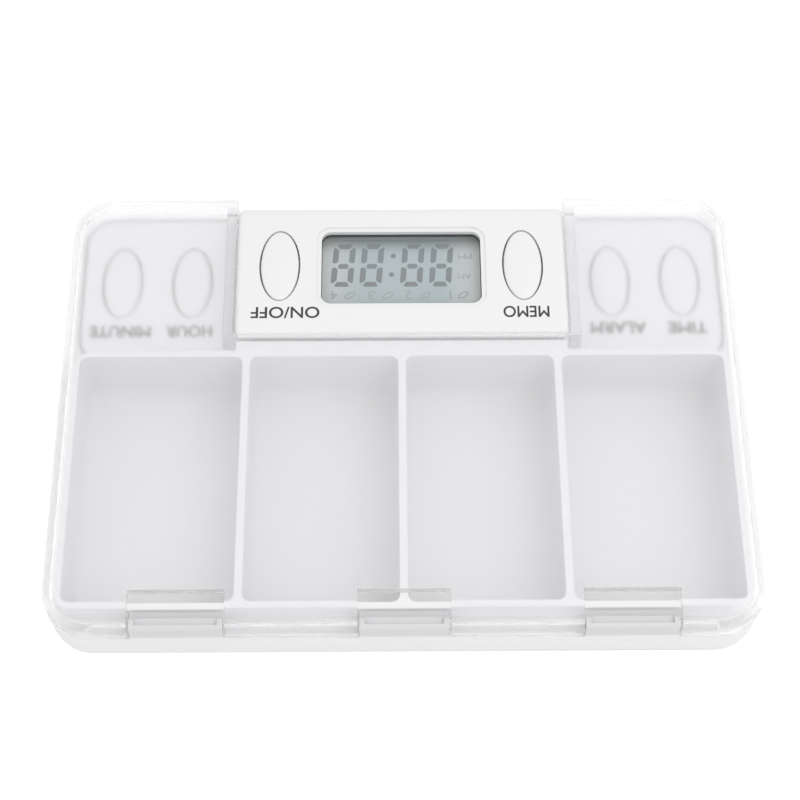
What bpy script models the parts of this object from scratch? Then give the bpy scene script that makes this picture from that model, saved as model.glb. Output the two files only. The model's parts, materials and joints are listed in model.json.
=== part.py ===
"""Electronic pill box, closed: a tray with four pill pockets, a timer module at the front, and a
translucent lid hinged along the back that leaves the raised timer panel bare.

Metres, +Z up. The origin is the middle of the underside, +X runs along the long side, and +Y points
to the hinge. The timer and its keys face the user, who sits at -Y.
"""

import math

import bmesh
import bpy
from mathutils import Matrix, Vector

# The whole box, closed
BOX_LENGTH = 0.110
BOX_DEPTH = 0.079
BOX_HEIGHT = 0.016

# Clearances, and how far shapes run past or into each other where they are cut or joined
FIT_GAP = 0.0003
PIN_GAP = 0.0002
OVERRUN = 0.0015
SINK = 0.0006

# Lid
LID_WALL = 0.0015
LID_CORNER_RADIUS = 0.007
LID_EDGE_RADIUS = 0.0025
NOTCH_WALL = 0.0017
NOTCH_CORNER_RADIUS = 0.0011
LUG_SLOT_DEPTH = 0.0058

# Hinge along the back
HINGE_RADIUS = 0.0011
HINGE_RISE = 0.0022
HINGE_SWING_RADIUS = 0.0020
HINGE_PIN_RADIUS = 0.00045
HINGE_PIN_LENGTH = 0.0015
END_BARREL_LENGTH = 0.0055
LUG_CROWN = 0.0017
LUG_EDGE_RADIUS = 0.0007
LUG_FOOT_INSET = 0.0006
LUG_BRIDGE_DROP = 0.0012
LUG_DISH_DEPTH = 0.0006
LUG_LIP = 0.0008
CENTRE_LUG_WIDTH = 0.0135
SIDE_LUG_WIDTH = 0.0141
SIDE_LUG_MARGIN = 0.0206

# Tray
TRAY_HEIGHT = 0.0103
TRAY_INSET = 0.0003
TRAY_EDGE_RADIUS = 0.006
TRAY_RIM_WALL = 0.0015
LID_SIDE_GAP = 0.0004
HINGE_TROUGH = 0.0019
POCKET_FLOOR = 0.0021
POCKET_WALL = 0.0011
POCKET_WALL_DROP = 0.0005
POCKET_RADIUS = 0.0013
POCKET_BLOCK_CORNER_RADIUS = 0.0034
DIVIDER_WALL = 0.0012
SIDE_DIVIDER_X = 0.02515

# Timer cover: a deck under the lid and the raised panel
COVER_WALL = 0.0013
DECK_DEPTH = 0.0278
DECK_CORNER_RADIUS = 0.0045
PANEL_WIDTH = 0.0544
PANEL_DEPTH = 0.0257
PANEL_FRONT_RADIUS = 0.0025
PANEL_EDGE_RADIUS = 0.0009
WINDOW_WIDTH = 0.0264
WINDOW_DEPTH = 0.0142
WINDOW_SETBACK = 0.01275
WINDOW_RADIUS = 0.0016
WINDOW_BORDER = 0.0008
WINDOW_BORDER_DEPTH = 0.00025

# Keys
KEY_WIDTH = 0.0062
KEY_LENGTH = 0.0134
KEY_SETBACK = 0.0125
KEY_PROUD = 0.00045
KEY_DOME = 0.00055
KEY_TRAVEL = 0.0005
KEY_FLANGE = 0.0003
KEY_FLANGE_THICKNESS = 0.0006
KEY_STEM_RADIUS = 0.0012
KEY_FREE_PLAY = 0.0001
PANEL_KEY_SHARE = 0.49
INNER_KEY_SHARE = 0.3
OUTER_KEY_SHARE = 0.755

# Bay under the deck
BAY_LEDGE = 0.0015
BAY_END_LEDGE = 0.0004
BAY_RADIUS = 0.002
SCREW_NEAR_MARGIN = 0.0012
SCREW_NEAR_SETBACK = 0.0059
SCREW_FAR_MARGIN = 0.0054
SCREW_FAR_SETBACK = 0.0242
SCREW_SHANK_RADIUS = 0.0009
SCREW_LENGTH = 0.0055
SCREW_HEAD_RADIUS = 0.0019
SCREW_HEAD_HEIGHT = 0.0012
SCREW_CROSS_WIDTH = 0.0005
SCREW_CROSS_LENGTH = 0.0024
SCREW_CROSS_DEPTH = 0.0007
SCREW_RECESS = 0.0024
SCREW_SEAT_THICKNESS = 0.0012
SCREW_SEAT_WALL = 0.0010
COVER_BOSS_WALL = 0.0010

# Circuit board and what it carries
BOARD_THICKNESS = 0.001
BOARD_HEIGHT = 0.0054
BOARD_CLEARANCE = 0.0005
BOARD_CORNER_RADIUS = 0.0015
BOARD_POST_RADIUS = 0.0012
BOARD_POST_OFFSET = 0.0085
BOARD_POST_EDGE = 0.0022
MAT_THICKNESS = 0.0004
MAT_DEPTH = 0.0082
MAT_MARGIN = 0.0022
MAT_RADIUS = 0.001
MAT_DOME_HEIGHT = 0.0003
MAT_DOME_RADIUS = 0.0020
MAT_DOME_TOP_RADIUS = 0.0016
CHIP_RADIUS = 0.0035
CHIP_HEIGHT = 0.0012
CHIP_OFFSET = 0.0029
CRYSTAL_RADIUS = 0.001
CRYSTAL_LENGTH = 0.006
CRYSTAL_X = 0.007
CRYSTAL_GAP = 0.0005

# Display stack
LENS_OVERLAP = 0.001
LENS_THICKNESS = 0.0008
GLASS_THICKNESS = 0.00105
GLASS_LEDGE = 0.0015
REFLECTOR_THICKNESS = 0.0003
FRAME_WALL = 0.001
FRAME_LEDGE = 0.0007
CONNECTOR_WIDTH = 0.002
CONNECTOR_LENGTH = 0.024

# Buzzer
BUZZER_OFFSET = 0.0021
BUZZER_SETBACK = 0.0154
BUZZER_RADIUS = 0.0060
BUZZER_THICKNESS = 0.00025
BUZZER_CERAMIC_RADIUS = 0.0042
BUZZER_CERAMIC_THICKNESS = 0.0002
BUZZER_RING_WALL = 0.0012
BUZZER_RING_HEIGHT = 0.0008
SOUND_HOLE_RADIUS = 0.0006
SOUND_HOLE_CIRCLE = 0.0026
SOUND_HOLES = 6
WIRE_RADIUS = 0.00025
WIRE_REACH = 0.0066
WIRE_SPACING = 0.0018

# Battery
CELL_RADIUS = 0.010
CELL_THICKNESS = 0.0025
CELL_RIM = 0.0009
CELL_STEP = 0.0002
CELL_SETBACK = 0.0156
CELL_SEAT_HEIGHT = 0.0009
CELL_SEAT_WALL = 0.0009
DOOR_LIP = 0.0009
DOOR_THICKNESS = 0.0012
DOOR_RECESS = 0.0002
DOOR_EDGE_RADIUS = 0.0002
DOOR_SLOT_LENGTH = 0.012
DOOR_SLOT_WIDTH = 0.0018
DOOR_SLOT_DEPTH = 0.0006
DOOR_TAB_REACH = 0.001
DOOR_TAB_WIDTH = 0.004
DOOR_TAB_THICKNESS = 0.0005
DOOR_TURN = math.radians(45)
CONTACT_THICKNESS = 0.0002
CONTACT_WIDTH = 0.004
CONTACT_LENGTH = 0.012
CONTACT_FOOT = 0.0035

# Facets
ROUND_STEPS = 40
KEY_STEPS = 32
HOLE_STEPS = 20
PIN_STEPS = 12
CORNER_STEPS = 6
EDGE_STEPS = 5
POCKET_STEPS = 4
SMALL_STEPS = 3
WIRE_STEPS = 8
SMOOTH_ANGLE = math.radians(32)
SHARP_ANGLE = math.radians(60)
ALONG_SHARE = 0.99

# Where the pieces lie, worked out from the sizes above
LID_FRONT_Y = -BOX_DEPTH / 2
LID_REAR_Y = BOX_DEPTH / 2
LID_SIDE_X = BOX_LENGTH / 2
LID_RIM_Z = TRAY_HEIGHT + FIT_GAP
LID_CEILING_Z = BOX_HEIGHT - LID_WALL
TRAY_SIDE_X = LID_SIDE_X - TRAY_INSET
TRAY_FRONT_Y = LID_FRONT_Y + TRAY_INSET
TRAY_REAR_Y = LID_REAR_Y - TRAY_INSET
RECESS_SIDE_X = TRAY_SIDE_X - TRAY_RIM_WALL
RECESS_FRONT_Y = TRAY_FRONT_Y + TRAY_RIM_WALL
DECK_SIDE_X = RECESS_SIDE_X - FIT_GAP
DECK_FRONT_Y = RECESS_FRONT_Y + FIT_GAP
DECK_REAR_Y = DECK_FRONT_Y + DECK_DEPTH
DECK_TOP_Z = TRAY_HEIGHT
DECK_UNDER_Z = DECK_TOP_Z - COVER_WALL
LEDGE_Z = DECK_UNDER_Z - FIT_GAP
PANEL_SIDE_X = PANEL_WIDTH / 2
PANEL_REAR_Y = DECK_FRONT_Y + PANEL_DEPTH
PANEL_UNDER_Z = BOX_HEIGHT - COVER_WALL
NOTCH_SIDE_X = PANEL_SIDE_X + FIT_GAP
NOTCH_REAR_Y = PANEL_REAR_Y + FIT_GAP
POCKET_BLOCK_FRONT_Y = DECK_REAR_Y + FIT_GAP
POCKET_BLOCK_REAR_Y = LID_REAR_Y - LID_WALL - HINGE_TROUGH
POCKET_BLOCK_SIDE_X = LID_SIDE_X - LID_WALL - LID_SIDE_GAP
POCKET_TOP_Z = LID_CEILING_Z - POCKET_WALL_DROP
POCKET_FRONT_Y = POCKET_BLOCK_FRONT_Y + POCKET_WALL
POCKET_REAR_Y = POCKET_BLOCK_REAR_Y - POCKET_WALL
POCKET_SIDE_X = POCKET_BLOCK_SIDE_X - POCKET_WALL
HINGE_Y = LID_REAR_Y - HINGE_RADIUS
HINGE_Z = TRAY_HEIGHT + HINGE_RISE
LUG_TOP_Z = HINGE_Z + LUG_CROWN
SIDE_LUG_X = LID_SIDE_X - SIDE_LUG_MARGIN
KEY_ROW_Y = DECK_FRONT_Y + KEY_SETBACK
WINDOW_Y = DECK_FRONT_Y + WINDOW_SETBACK
WINDOW_SIDE_X = WINDOW_WIDTH / 2
PANEL_KEY_X = WINDOW_SIDE_X + PANEL_KEY_SHARE * (PANEL_SIDE_X - WINDOW_SIDE_X)
INNER_KEY_X = PANEL_SIDE_X + INNER_KEY_SHARE * (DECK_SIDE_X - PANEL_SIDE_X)
OUTER_KEY_X = PANEL_SIDE_X + OUTER_KEY_SHARE * (DECK_SIDE_X - PANEL_SIDE_X)
BAY_SIDE_X = DECK_SIDE_X - BAY_END_LEDGE
BAY_FRONT_Y = DECK_FRONT_Y + BAY_LEDGE
BAY_REAR_Y = DECK_REAR_Y - BAY_LEDGE
BOARD_TOP_Z = BOARD_HEIGHT + BOARD_THICKNESS
ON_BOARD_Z = BOARD_TOP_Z + FIT_GAP
UNDER_BOARD_Z = BOARD_HEIGHT - FIT_GAP
MAT_DOME_Z = ON_BOARD_Z + MAT_THICKNESS + MAT_DOME_HEIGHT
KEY_STEM_Z = MAT_DOME_Z + KEY_TRAVEL + KEY_FREE_PLAY
LENS_TOP_Z = PANEL_UNDER_Z - FIT_GAP
LENS_UNDER_Z = LENS_TOP_Z - LENS_THICKNESS
GLASS_TOP_Z = LENS_UNDER_Z - FIT_GAP
GLASS_UNDER_Z = GLASS_TOP_Z - GLASS_THICKNESS - GLASS_THICKNESS
REFLECTOR_TOP_Z = GLASS_UNDER_Z - FIT_GAP
REFLECTOR_UNDER_Z = REFLECTOR_TOP_Z - REFLECTOR_THICKNESS
FRAME_LEDGE_Z = REFLECTOR_UNDER_Z - FIT_GAP
FRAME_TOP_Z = GLASS_TOP_Z - FIT_GAP
LENS_HALF_X = WINDOW_SIDE_X + LENS_OVERLAP
LENS_HALF_Y = WINDOW_DEPTH / 2 + LENS_OVERLAP
FRAME_HALF_X = LENS_HALF_X + FIT_GAP + FRAME_WALL
FRAME_HALF_Y = LENS_HALF_Y + FIT_GAP + FRAME_WALL
CELL_Y = DECK_FRONT_Y + CELL_SETBACK
DOOR_TOP_Z = DOOR_RECESS + DOOR_THICKNESS
CELL_Z = DOOR_TOP_Z + FIT_GAP
CELL_TOP_Z = CELL_Z + CELL_THICKNESS
CELL_OPENING_RADIUS = CELL_RADIUS + FIT_GAP
DOOR_RADIUS = CELL_OPENING_RADIUS + DOOR_LIP
DOOR_TAB_CORNER = math.hypot(DOOR_RADIUS + DOOR_TAB_REACH, DOOR_TAB_WIDTH / 2)
CELL_SEAT_RADIUS = DOOR_TAB_CORNER + FIT_GAP + CELL_SEAT_WALL
CELL_SEAT_Z = POCKET_FLOOR + CELL_SEAT_HEIGHT
CHIP_X = -INNER_KEY_X + CHIP_OFFSET
CRYSTAL_Y = WINDOW_Y + FRAME_HALF_Y + CRYSTAL_GAP + CRYSTAL_RADIUS
BUZZER_X = INNER_KEY_X + BUZZER_OFFSET
BUZZER_Y = DECK_FRONT_Y + BUZZER_SETBACK
BUZZER_RING_Z = POCKET_FLOOR + BUZZER_RING_HEIGHT
SCREW_SEAT_Z = SCREW_RECESS + SCREW_SEAT_THICKNESS
COVER_BOSS_Z = SCREW_SEAT_Z + FIT_GAP
SCREW_HOLE_RADIUS = SCREW_SHANK_RADIUS + PIN_GAP
COVER_BOSS_RADIUS = SCREW_HOLE_RADIUS + COVER_BOSS_WALL
SCREW_HEAD_HOLE_RADIUS = SCREW_HEAD_RADIUS + FIT_GAP
SCREW_SEAT_RADIUS = SCREW_HEAD_HOLE_RADIUS + SCREW_SEAT_WALL
SCREW_HEAD_TOP_Z = SCREW_RECESS - FIT_GAP
SCREW_NEAR_X = PANEL_SIDE_X + SCREW_NEAR_MARGIN
SCREW_FAR_X = DECK_SIDE_X - SCREW_FAR_MARGIN

SCREW_PLACES = (
    (-SCREW_NEAR_X, DECK_FRONT_Y + SCREW_NEAR_SETBACK),
    (SCREW_NEAR_X, DECK_FRONT_Y + SCREW_NEAR_SETBACK),
    (-SCREW_FAR_X, DECK_FRONT_Y + SCREW_FAR_SETBACK),
    (SCREW_FAR_X, DECK_FRONT_Y + SCREW_FAR_SETBACK),
)

# Each lug: the middle of its width, and its width
LUGS = (
    (-SIDE_LUG_X, SIDE_LUG_WIDTH),
    (0, CENTRE_LUG_WIDTH),
    (SIDE_LUG_X, SIDE_LUG_WIDTH),
)

# Each key: its name, its place along the row, and the top of the wall that it comes through
KEYS = (
    ("key_onoff", PANEL_KEY_X, BOX_HEIGHT),
    ("key_memo", -PANEL_KEY_X, BOX_HEIGHT),
    ("key_hour", INNER_KEY_X, DECK_TOP_Z),
    ("key_minute", OUTER_KEY_X, DECK_TOP_Z),
    ("key_alarm", -INNER_KEY_X, DECK_TOP_Z),
    ("key_time", -OUTER_KEY_X, DECK_TOP_Z),
)


def clear_scene():
    for obj in list(bpy.data.objects):
        bpy.data.objects.remove(obj, do_unlink=True)


def new_collection(name):
    collection = bpy.data.collections.new(name)
    bpy.context.scene.collection.children.link(collection)
    return collection


def principled(name, colour, roughness, metallic=0.0, transmission=0.0):
    material = bpy.data.materials.new(name)
    material.use_nodes = True
    shader = material.node_tree.nodes["Principled BSDF"]
    shader.inputs["Base Color"].default_value = (*colour, 1.0)
    shader.inputs["Roughness"].default_value = roughness
    shader.inputs["Metallic"].default_value = metallic
    shader.inputs["Transmission Weight"].default_value = transmission
    return material


def shape_from(bm, name):
    """A construction shape: hidden until it is finished as a part."""
    mesh = bpy.data.meshes.new(name)
    bm.to_mesh(mesh)
    bm.free()
    obj = bpy.data.objects.new(name, mesh)
    obj.hide_render = True
    obj.display_type = "WIRE"
    construction.objects.link(obj)
    return obj


def round_edges(bm, edges, radius, steps):
    bmesh.ops.bevel(
        bm,
        geom=edges,
        offset=radius,
        offset_type="OFFSET",
        segments=steps,
        profile=0.5,
        affect="EDGES",
        clamp_overlap=False,
    )


def along(edge, axis):
    run = edge.verts[1].co - edge.verts[0].co
    return abs(run[axis]) > ALONG_SHARE * run.length


def level_edges(bm, level):
    """The edges round the flat face at this height."""
    bm.normal_update()
    flat = [face for face in bm.faces if abs(face.normal.z) > ALONG_SHARE]
    face = min(flat, key=lambda item: abs(item.calc_center_median().z - level))
    return list(face.edges)


def plain_box(low, high):
    size = Vector(high) - Vector(low)
    bm = bmesh.new()
    bmesh.ops.create_cube(bm, size=1.0)
    bmesh.ops.scale(bm, vec=size, verts=bm.verts)
    bmesh.ops.translate(bm, vec=Vector(low) + size / 2, verts=bm.verts)
    return bm


def block(name, low, high, corner=0.0, top=0.0, bottom=0.0, steps=EDGE_STEPS):
    """A box from its low to its high corner, with its upright, top and bottom edges rounded."""
    bm = plain_box(low, high)
    upright = [edge for edge in bm.edges if along(edge, 2)]
    if corner and corner in (top, bottom):
        level = high[2] if corner == top else low[2]
        round_edges(bm, upright + level_edges(bm, level), corner, steps)
        return shape_from(bm, name)
    if corner:
        round_edges(bm, upright, corner, max(steps, CORNER_STEPS))
    if top:
        round_edges(bm, level_edges(bm, high[2]), top, steps)
    if bottom:
        round_edges(bm, level_edges(bm, low[2]), bottom, steps)
    return shape_from(bm, name)


def rod(name, radius, start, end, steps=HOLE_STEPS, end_radius=None):
    """A cylinder, or a cone where the end radius differs, between two points."""
    run = Vector(end) - Vector(start)
    bm = bmesh.new()
    bmesh.ops.create_cone(
        bm,
        cap_ends=True,
        segments=steps,
        radius1=radius,
        radius2=radius if end_radius is None else end_radius,
        depth=run.length,
    )
    turn = run.to_track_quat("Z", "Y").to_matrix().to_4x4()
    bmesh.ops.transform(bm, matrix=Matrix.Translation(Vector(start) + run / 2) @ turn, verts=bm.verts)
    return shape_from(bm, name)


def upright_rod(name, radius, place, low_z, high_z, steps=HOLE_STEPS, end_radius=None):
    return rod(name, radius, (*place, low_z), (*place, high_z), steps, end_radius)


def evaluated_mesh(obj):
    graph = bpy.context.evaluated_depsgraph_get()
    return bpy.data.meshes.new_from_object(obj.evaluated_get(graph), depsgraph=graph)


def bake(obj):
    """Puts the result of the object's modifiers into its own mesh."""
    mesh = evaluated_mesh(obj)
    obj.modifiers.clear()
    obj.data = mesh
    return obj


def turned(name, profile, steps=ROUND_STEPS, stretch_y=1.0):
    """A profile of (radius, height) points, top to bottom, turned about Z and then stretched along Y."""
    bm = bmesh.new()
    points = [bm.verts.new((radius, 0, height)) for radius, height in profile]
    for upper, lower in zip(points, points[1:]):
        bm.edges.new((upper, lower))
    obj = shape_from(bm, name)
    screw = obj.modifiers.new("turn", "SCREW")
    screw.steps = steps
    screw.render_steps = steps
    screw.use_merge_vertices = True
    screw.merge_threshold = 0.00001
    bake(obj)
    obj.data.transform(Matrix.Diagonal((1.0, stretch_y, 1.0, 1.0)))
    return obj


def combine(target, tool, operation):
    modifier = target.modifiers.new(tool.name, "BOOLEAN")
    modifier.operation = operation
    modifier.solver = "EXACT"
    modifier.object = tool
    return target


def cut(target, *tools):
    for tool in tools:
        combine(target, tool, "DIFFERENCE")
    return target


def join(target, *tools):
    for tool in tools:
        combine(target, tool, "UNION")
    return target


def finish(obj, material, origin=(0, 0, 0)):
    """Makes the shape a part: modifiers baked, origin moved, shaded, coloured and put on the box."""
    bake(obj)
    obj.data.transform(Matrix.Translation(-Vector(origin)))
    obj.location = Vector(obj.location) + Vector(origin)
    obj.data.materials.clear()
    obj.data.materials.append(material)
    obj.data.shade_smooth()
    obj.data.set_sharp_from_angle(angle=SMOOTH_ANGLE)
    obj.hide_render = False
    obj.display_type = "TEXTURED"
    construction.objects.unlink(obj)
    parts.objects.link(obj)
    obj.parent = root
    return obj


def lug_edges(lug):
    middle, width = lug
    return middle - width / 2, middle + width / 2


def make_tray():
    tray = block(
        "base_tray",
        (-TRAY_SIDE_X, TRAY_FRONT_Y, 0),
        (TRAY_SIDE_X, TRAY_REAR_Y, TRAY_HEIGHT),
        corner=LID_CORNER_RADIUS - TRAY_INSET,
        bottom=TRAY_EDGE_RADIUS,
    )
    pocket_block = block(
        "pocket_block",
        (-POCKET_BLOCK_SIDE_X, POCKET_BLOCK_FRONT_Y, POCKET_FLOOR + POCKET_RADIUS),
        (POCKET_BLOCK_SIDE_X, POCKET_BLOCK_REAR_Y, POCKET_TOP_Z),
        corner=POCKET_BLOCK_CORNER_RADIUS,
    )
    join(tray, pocket_block)
    recess = block(
        "deck_recess",
        (-RECESS_SIDE_X, RECESS_FRONT_Y, LEDGE_Z),
        (RECESS_SIDE_X, POCKET_BLOCK_FRONT_Y, POCKET_TOP_Z + OVERRUN),
        corner=DECK_CORNER_RADIUS + FIT_GAP,
    )
    bay = block(
        "module_bay",
        (-BAY_SIDE_X, BAY_FRONT_Y, POCKET_FLOOR),
        (BAY_SIDE_X, BAY_REAR_Y, POCKET_TOP_Z),
        corner=BAY_RADIUS,
        bottom=BAY_RADIUS,
        steps=SMALL_STEPS,
    )
    cut(tray, recess, bay)
    step = block(
        "step_behind_panel",
        (-PANEL_SIDE_X + FIT_GAP, BAY_REAR_Y, LEDGE_Z - SINK),
        (PANEL_SIDE_X - FIT_GAP, POCKET_BLOCK_FRONT_Y + SINK, POCKET_TOP_Z),
    )
    join(tray, step)
    add_tray_bosses(tray)
    add_lugs(tray)
    cut_pockets(tray)
    cut_battery_seat(tray)
    cut_screw_and_sound_holes(tray)
    return finish(tray, white_plastic)


def add_tray_bosses(tray):
    for number, place in enumerate(SCREW_PLACES):
        join(tray, upright_rod(f"screw_seat_{number}", SCREW_SEAT_RADIUS, place, SINK, SCREW_SEAT_Z))
    front_y = BAY_FRONT_Y + BOARD_POST_EDGE
    rear_y = BAY_REAR_Y - BOARD_POST_EDGE
    near_x = SCREW_NEAR_X - BOARD_POST_OFFSET
    far_x = SCREW_FAR_X - BOARD_POST_OFFSET
    for side in (-1, 1):
        for x, y in ((near_x, rear_y), (far_x, front_y)):
            post = upright_rod("board_post", BOARD_POST_RADIUS, (side * x, y), SINK, UNDER_BOARD_Z, PIN_STEPS)
            join(tray, post)
    join(tray, upright_rod("cell_seat", CELL_SEAT_RADIUS, (0, CELL_Y), SINK, CELL_SEAT_Z, ROUND_STEPS))
    ring = upright_rod("buzzer_ring", BUZZER_RADIUS, (BUZZER_X, BUZZER_Y), SINK, BUZZER_RING_Z, ROUND_STEPS)
    ring_hole = upright_rod(
        "buzzer_ring_hole",
        BUZZER_RADIUS - BUZZER_RING_WALL,
        (BUZZER_X, BUZZER_Y),
        POCKET_FLOOR,
        BUZZER_RING_Z + OVERRUN,
        ROUND_STEPS,
    )
    join(tray, ring)
    cut(tray, ring_hole)


def add_lugs(tray):
    """Three lugs on the tray's rear rim, each bridged to the pocket wall and with a shallow dish in its top.

    The lid's pins turn in blind bores in the lugs' sides.
    """
    for lug in LUGS:
        start, end = lug_edges(lug)
        low = (start, HINGE_Y - HINGE_RADIUS, LID_RIM_Z)
        high = (end, LID_REAR_Y, LUG_TOP_Z)
        body = rounded_along_x("lug", low, high, LUG_EDGE_RADIUS)
        foot = block(
            "lug_foot",
            (start + LUG_FOOT_INSET, HINGE_Y - HINGE_RADIUS + PIN_GAP, TRAY_HEIGHT - SINK),
            (end - LUG_FOOT_INSET, TRAY_REAR_Y - PIN_GAP, LID_RIM_Z + SINK),
        )
        bridge = block(
            "lug_bridge",
            (start, POCKET_BLOCK_REAR_Y - SINK, TRAY_HEIGHT - SINK),
            (end, HINGE_Y - HINGE_RADIUS + SINK, LUG_TOP_Z - LUG_BRIDGE_DROP),
        )
        dish = block(
            "lug_dish",
            (start + LUG_LIP, HINGE_Y - HINGE_RADIUS - SINK, LUG_TOP_Z - LUG_DISH_DEPTH),
            (end - LUG_LIP, LID_REAR_Y - LUG_LIP, LUG_TOP_Z + OVERRUN),
        )
        join(tray, cut(body, dish), foot, bridge)
        depth = HINGE_PIN_LENGTH + FIT_GAP
        for face, inward in ((start, 1), (end, -1)):
            bore = rod(
                "pin_bore",
                HINGE_PIN_RADIUS + PIN_GAP,
                (face - inward * OVERRUN, HINGE_Y, HINGE_Z),
                (face + inward * depth, HINGE_Y, HINGE_Z),
                PIN_STEPS,
            )
            cut(tray, bore)


def rounded_along_x(name, low, high, radius):
    """A box whose two top edges along X are rounded."""
    bm = plain_box(low, high)
    middle = (low[2] + high[2]) / 2
    edges = [edge for edge in bm.edges if along(edge, 0) and edge.verts[0].co.z > middle]
    round_edges(bm, edges, radius, SMALL_STEPS)
    return shape_from(bm, name)


def cut_pockets(tray):
    half_wall = DIVIDER_WALL / 2
    spans = (
        (half_wall, SIDE_DIVIDER_X - half_wall),
        (SIDE_DIVIDER_X + half_wall, POCKET_SIDE_X),
    )
    for inner, outer in spans:
        for side in (-1, 1):
            low_x, high_x = sorted((side * inner, side * outer))
            pocket = block(
                "pocket",
                (low_x, POCKET_FRONT_Y, POCKET_FLOOR),
                (high_x, POCKET_REAR_Y, POCKET_TOP_Z + OVERRUN),
                corner=POCKET_RADIUS,
                bottom=POCKET_RADIUS,
                steps=POCKET_STEPS,
            )
            cut(tray, pocket)


def cut_battery_seat(tray):
    """A round opening for the cell, a recess for the door, and a groove that its two tabs turn in."""
    place = (0, CELL_Y)
    seat_cut_z = CELL_SEAT_Z + OVERRUN
    opening = upright_rod("cell_opening", CELL_OPENING_RADIUS, place, -OVERRUN, seat_cut_z, ROUND_STEPS)
    recess = upright_rod("door_recess", DOOR_RADIUS + FIT_GAP, place, -OVERRUN, CELL_Z, ROUND_STEPS)
    groove = upright_rod(
        "tab_groove",
        DOOR_TAB_CORNER + FIT_GAP,
        place,
        DOOR_TOP_Z - DOOR_TAB_THICKNESS - FIT_GAP,
        CELL_Z,
        ROUND_STEPS,
    )
    cut(tray, opening, recess, groove)
    half_width = DOOR_TAB_WIDTH / 2 + FIT_GAP
    entry = block(
        "tab_entry",
        (-DOOR_TAB_CORNER, -half_width, -OVERRUN),
        (DOOR_TAB_CORNER, half_width, CELL_Z),
    )
    entry.data.transform(Matrix.Translation((0, CELL_Y, 0)) @ Matrix.Rotation(DOOR_TURN, 4, "Z"))
    cut(tray, entry)


def cut_screw_and_sound_holes(tray):
    for number, place in enumerate(SCREW_PLACES):
        head_hole = upright_rod(f"head_hole_{number}", SCREW_HEAD_HOLE_RADIUS, place, -OVERRUN, SCREW_RECESS)
        shank_hole = upright_rod(
            f"shank_hole_{number}", SCREW_HOLE_RADIUS, place, -OVERRUN, SCREW_SEAT_Z + OVERRUN, PIN_STEPS
        )
        cut(tray, head_hole, shank_hole)
    places = [(BUZZER_X, BUZZER_Y)]
    for number in range(SOUND_HOLES):
        angle = math.tau * number / SOUND_HOLES
        x = BUZZER_X + SOUND_HOLE_CIRCLE * math.cos(angle)
        places.append((x, BUZZER_Y + SOUND_HOLE_CIRCLE * math.sin(angle)))
    for place in places:
        hole = upright_rod(
            "sound_hole", SOUND_HOLE_RADIUS, place, -OVERRUN, POCKET_FLOOR + OVERRUN, PIN_STEPS
        )
        cut(tray, hole)


def make_lid():
    """A shallow cap with a notch for the timer panel, walls beside the notch, and slots for the lugs."""
    lid = block(
        "lid",
        (-LID_SIDE_X, LID_FRONT_Y, LID_RIM_Z),
        (LID_SIDE_X, LID_REAR_Y, BOX_HEIGHT),
        corner=LID_CORNER_RADIUS,
        top=LID_EDGE_RADIUS,
    )
    hollow = block(
        "lid_hollow",
        (-LID_SIDE_X + LID_WALL, LID_FRONT_Y + LID_WALL, LID_RIM_Z - OVERRUN),
        (LID_SIDE_X - LID_WALL, LID_REAR_Y - LID_WALL, LID_CEILING_Z),
        corner=LID_CORNER_RADIUS - LID_WALL,
        top=LID_EDGE_RADIUS - LID_WALL,
    )
    wall_x = NOTCH_SIDE_X + NOTCH_WALL
    kept = block(
        "notch_walls",
        (-wall_x, LID_FRONT_Y - OVERRUN, LID_RIM_Z - OVERRUN - OVERRUN),
        (wall_x, NOTCH_REAR_Y - FIT_GAP, BOX_HEIGHT + OVERRUN),
    )
    cut(hollow, kept)
    notch = block(
        "notch",
        (-NOTCH_SIDE_X, LID_FRONT_Y - LID_WALL - OVERRUN, LID_RIM_Z - OVERRUN),
        (NOTCH_SIDE_X, NOTCH_REAR_Y, BOX_HEIGHT + OVERRUN),
        corner=NOTCH_CORNER_RADIUS,
        steps=SMALL_STEPS,
    )
    cut(lid, bake(hollow), notch)
    for lug in LUGS:
        start, end = lug_edges(lug)
        slot = block(
            "lug_slot",
            (start - FIT_GAP, LID_REAR_Y - LUG_SLOT_DEPTH, LID_RIM_Z - OVERRUN),
            (end + FIT_GAP, LID_REAR_Y + OVERRUN, BOX_HEIGHT + OVERRUN),
        )
        cut(lid, slot)
    add_hinge_barrels(lid)
    cut_hinge_swing(lid)
    return finish(lid, frosted_plastic, (0, HINGE_Y, HINGE_Z))


def add_hinge_barrels(lid):
    """Barrels fill the runs between the lugs, and a pin stands out of each end that faces a lug."""
    edges = [lug_edges(lug) for lug in LUGS]
    runs = [(edges[0][0] - FIT_GAP - END_BARREL_LENGTH, edges[0][0] - FIT_GAP, False, True)]
    for left, right in zip(edges, edges[1:]):
        runs.append((left[1] + FIT_GAP, right[0] - FIT_GAP, True, True))
    runs.append((edges[-1][1] + FIT_GAP, edges[-1][1] + FIT_GAP + END_BARREL_LENGTH, True, False))
    for start, end, pin_at_start, pin_at_end in runs:
        barrel = rod("barrel", HINGE_RADIUS, (start, HINGE_Y, HINGE_Z), (end, HINGE_Y, HINGE_Z))
        join(lid, barrel)
        pin_start = start - HINGE_PIN_LENGTH * pin_at_start + SINK * (not pin_at_start)
        pin_end = end + HINGE_PIN_LENGTH * pin_at_end - SINK * (not pin_at_end)
        pin = rod(
            "hinge_pin",
            HINGE_PIN_RADIUS,
            (pin_start, HINGE_Y, HINGE_Z),
            (pin_end, HINGE_Y, HINGE_Z),
            PIN_STEPS,
        )
        join(lid, pin)


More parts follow.
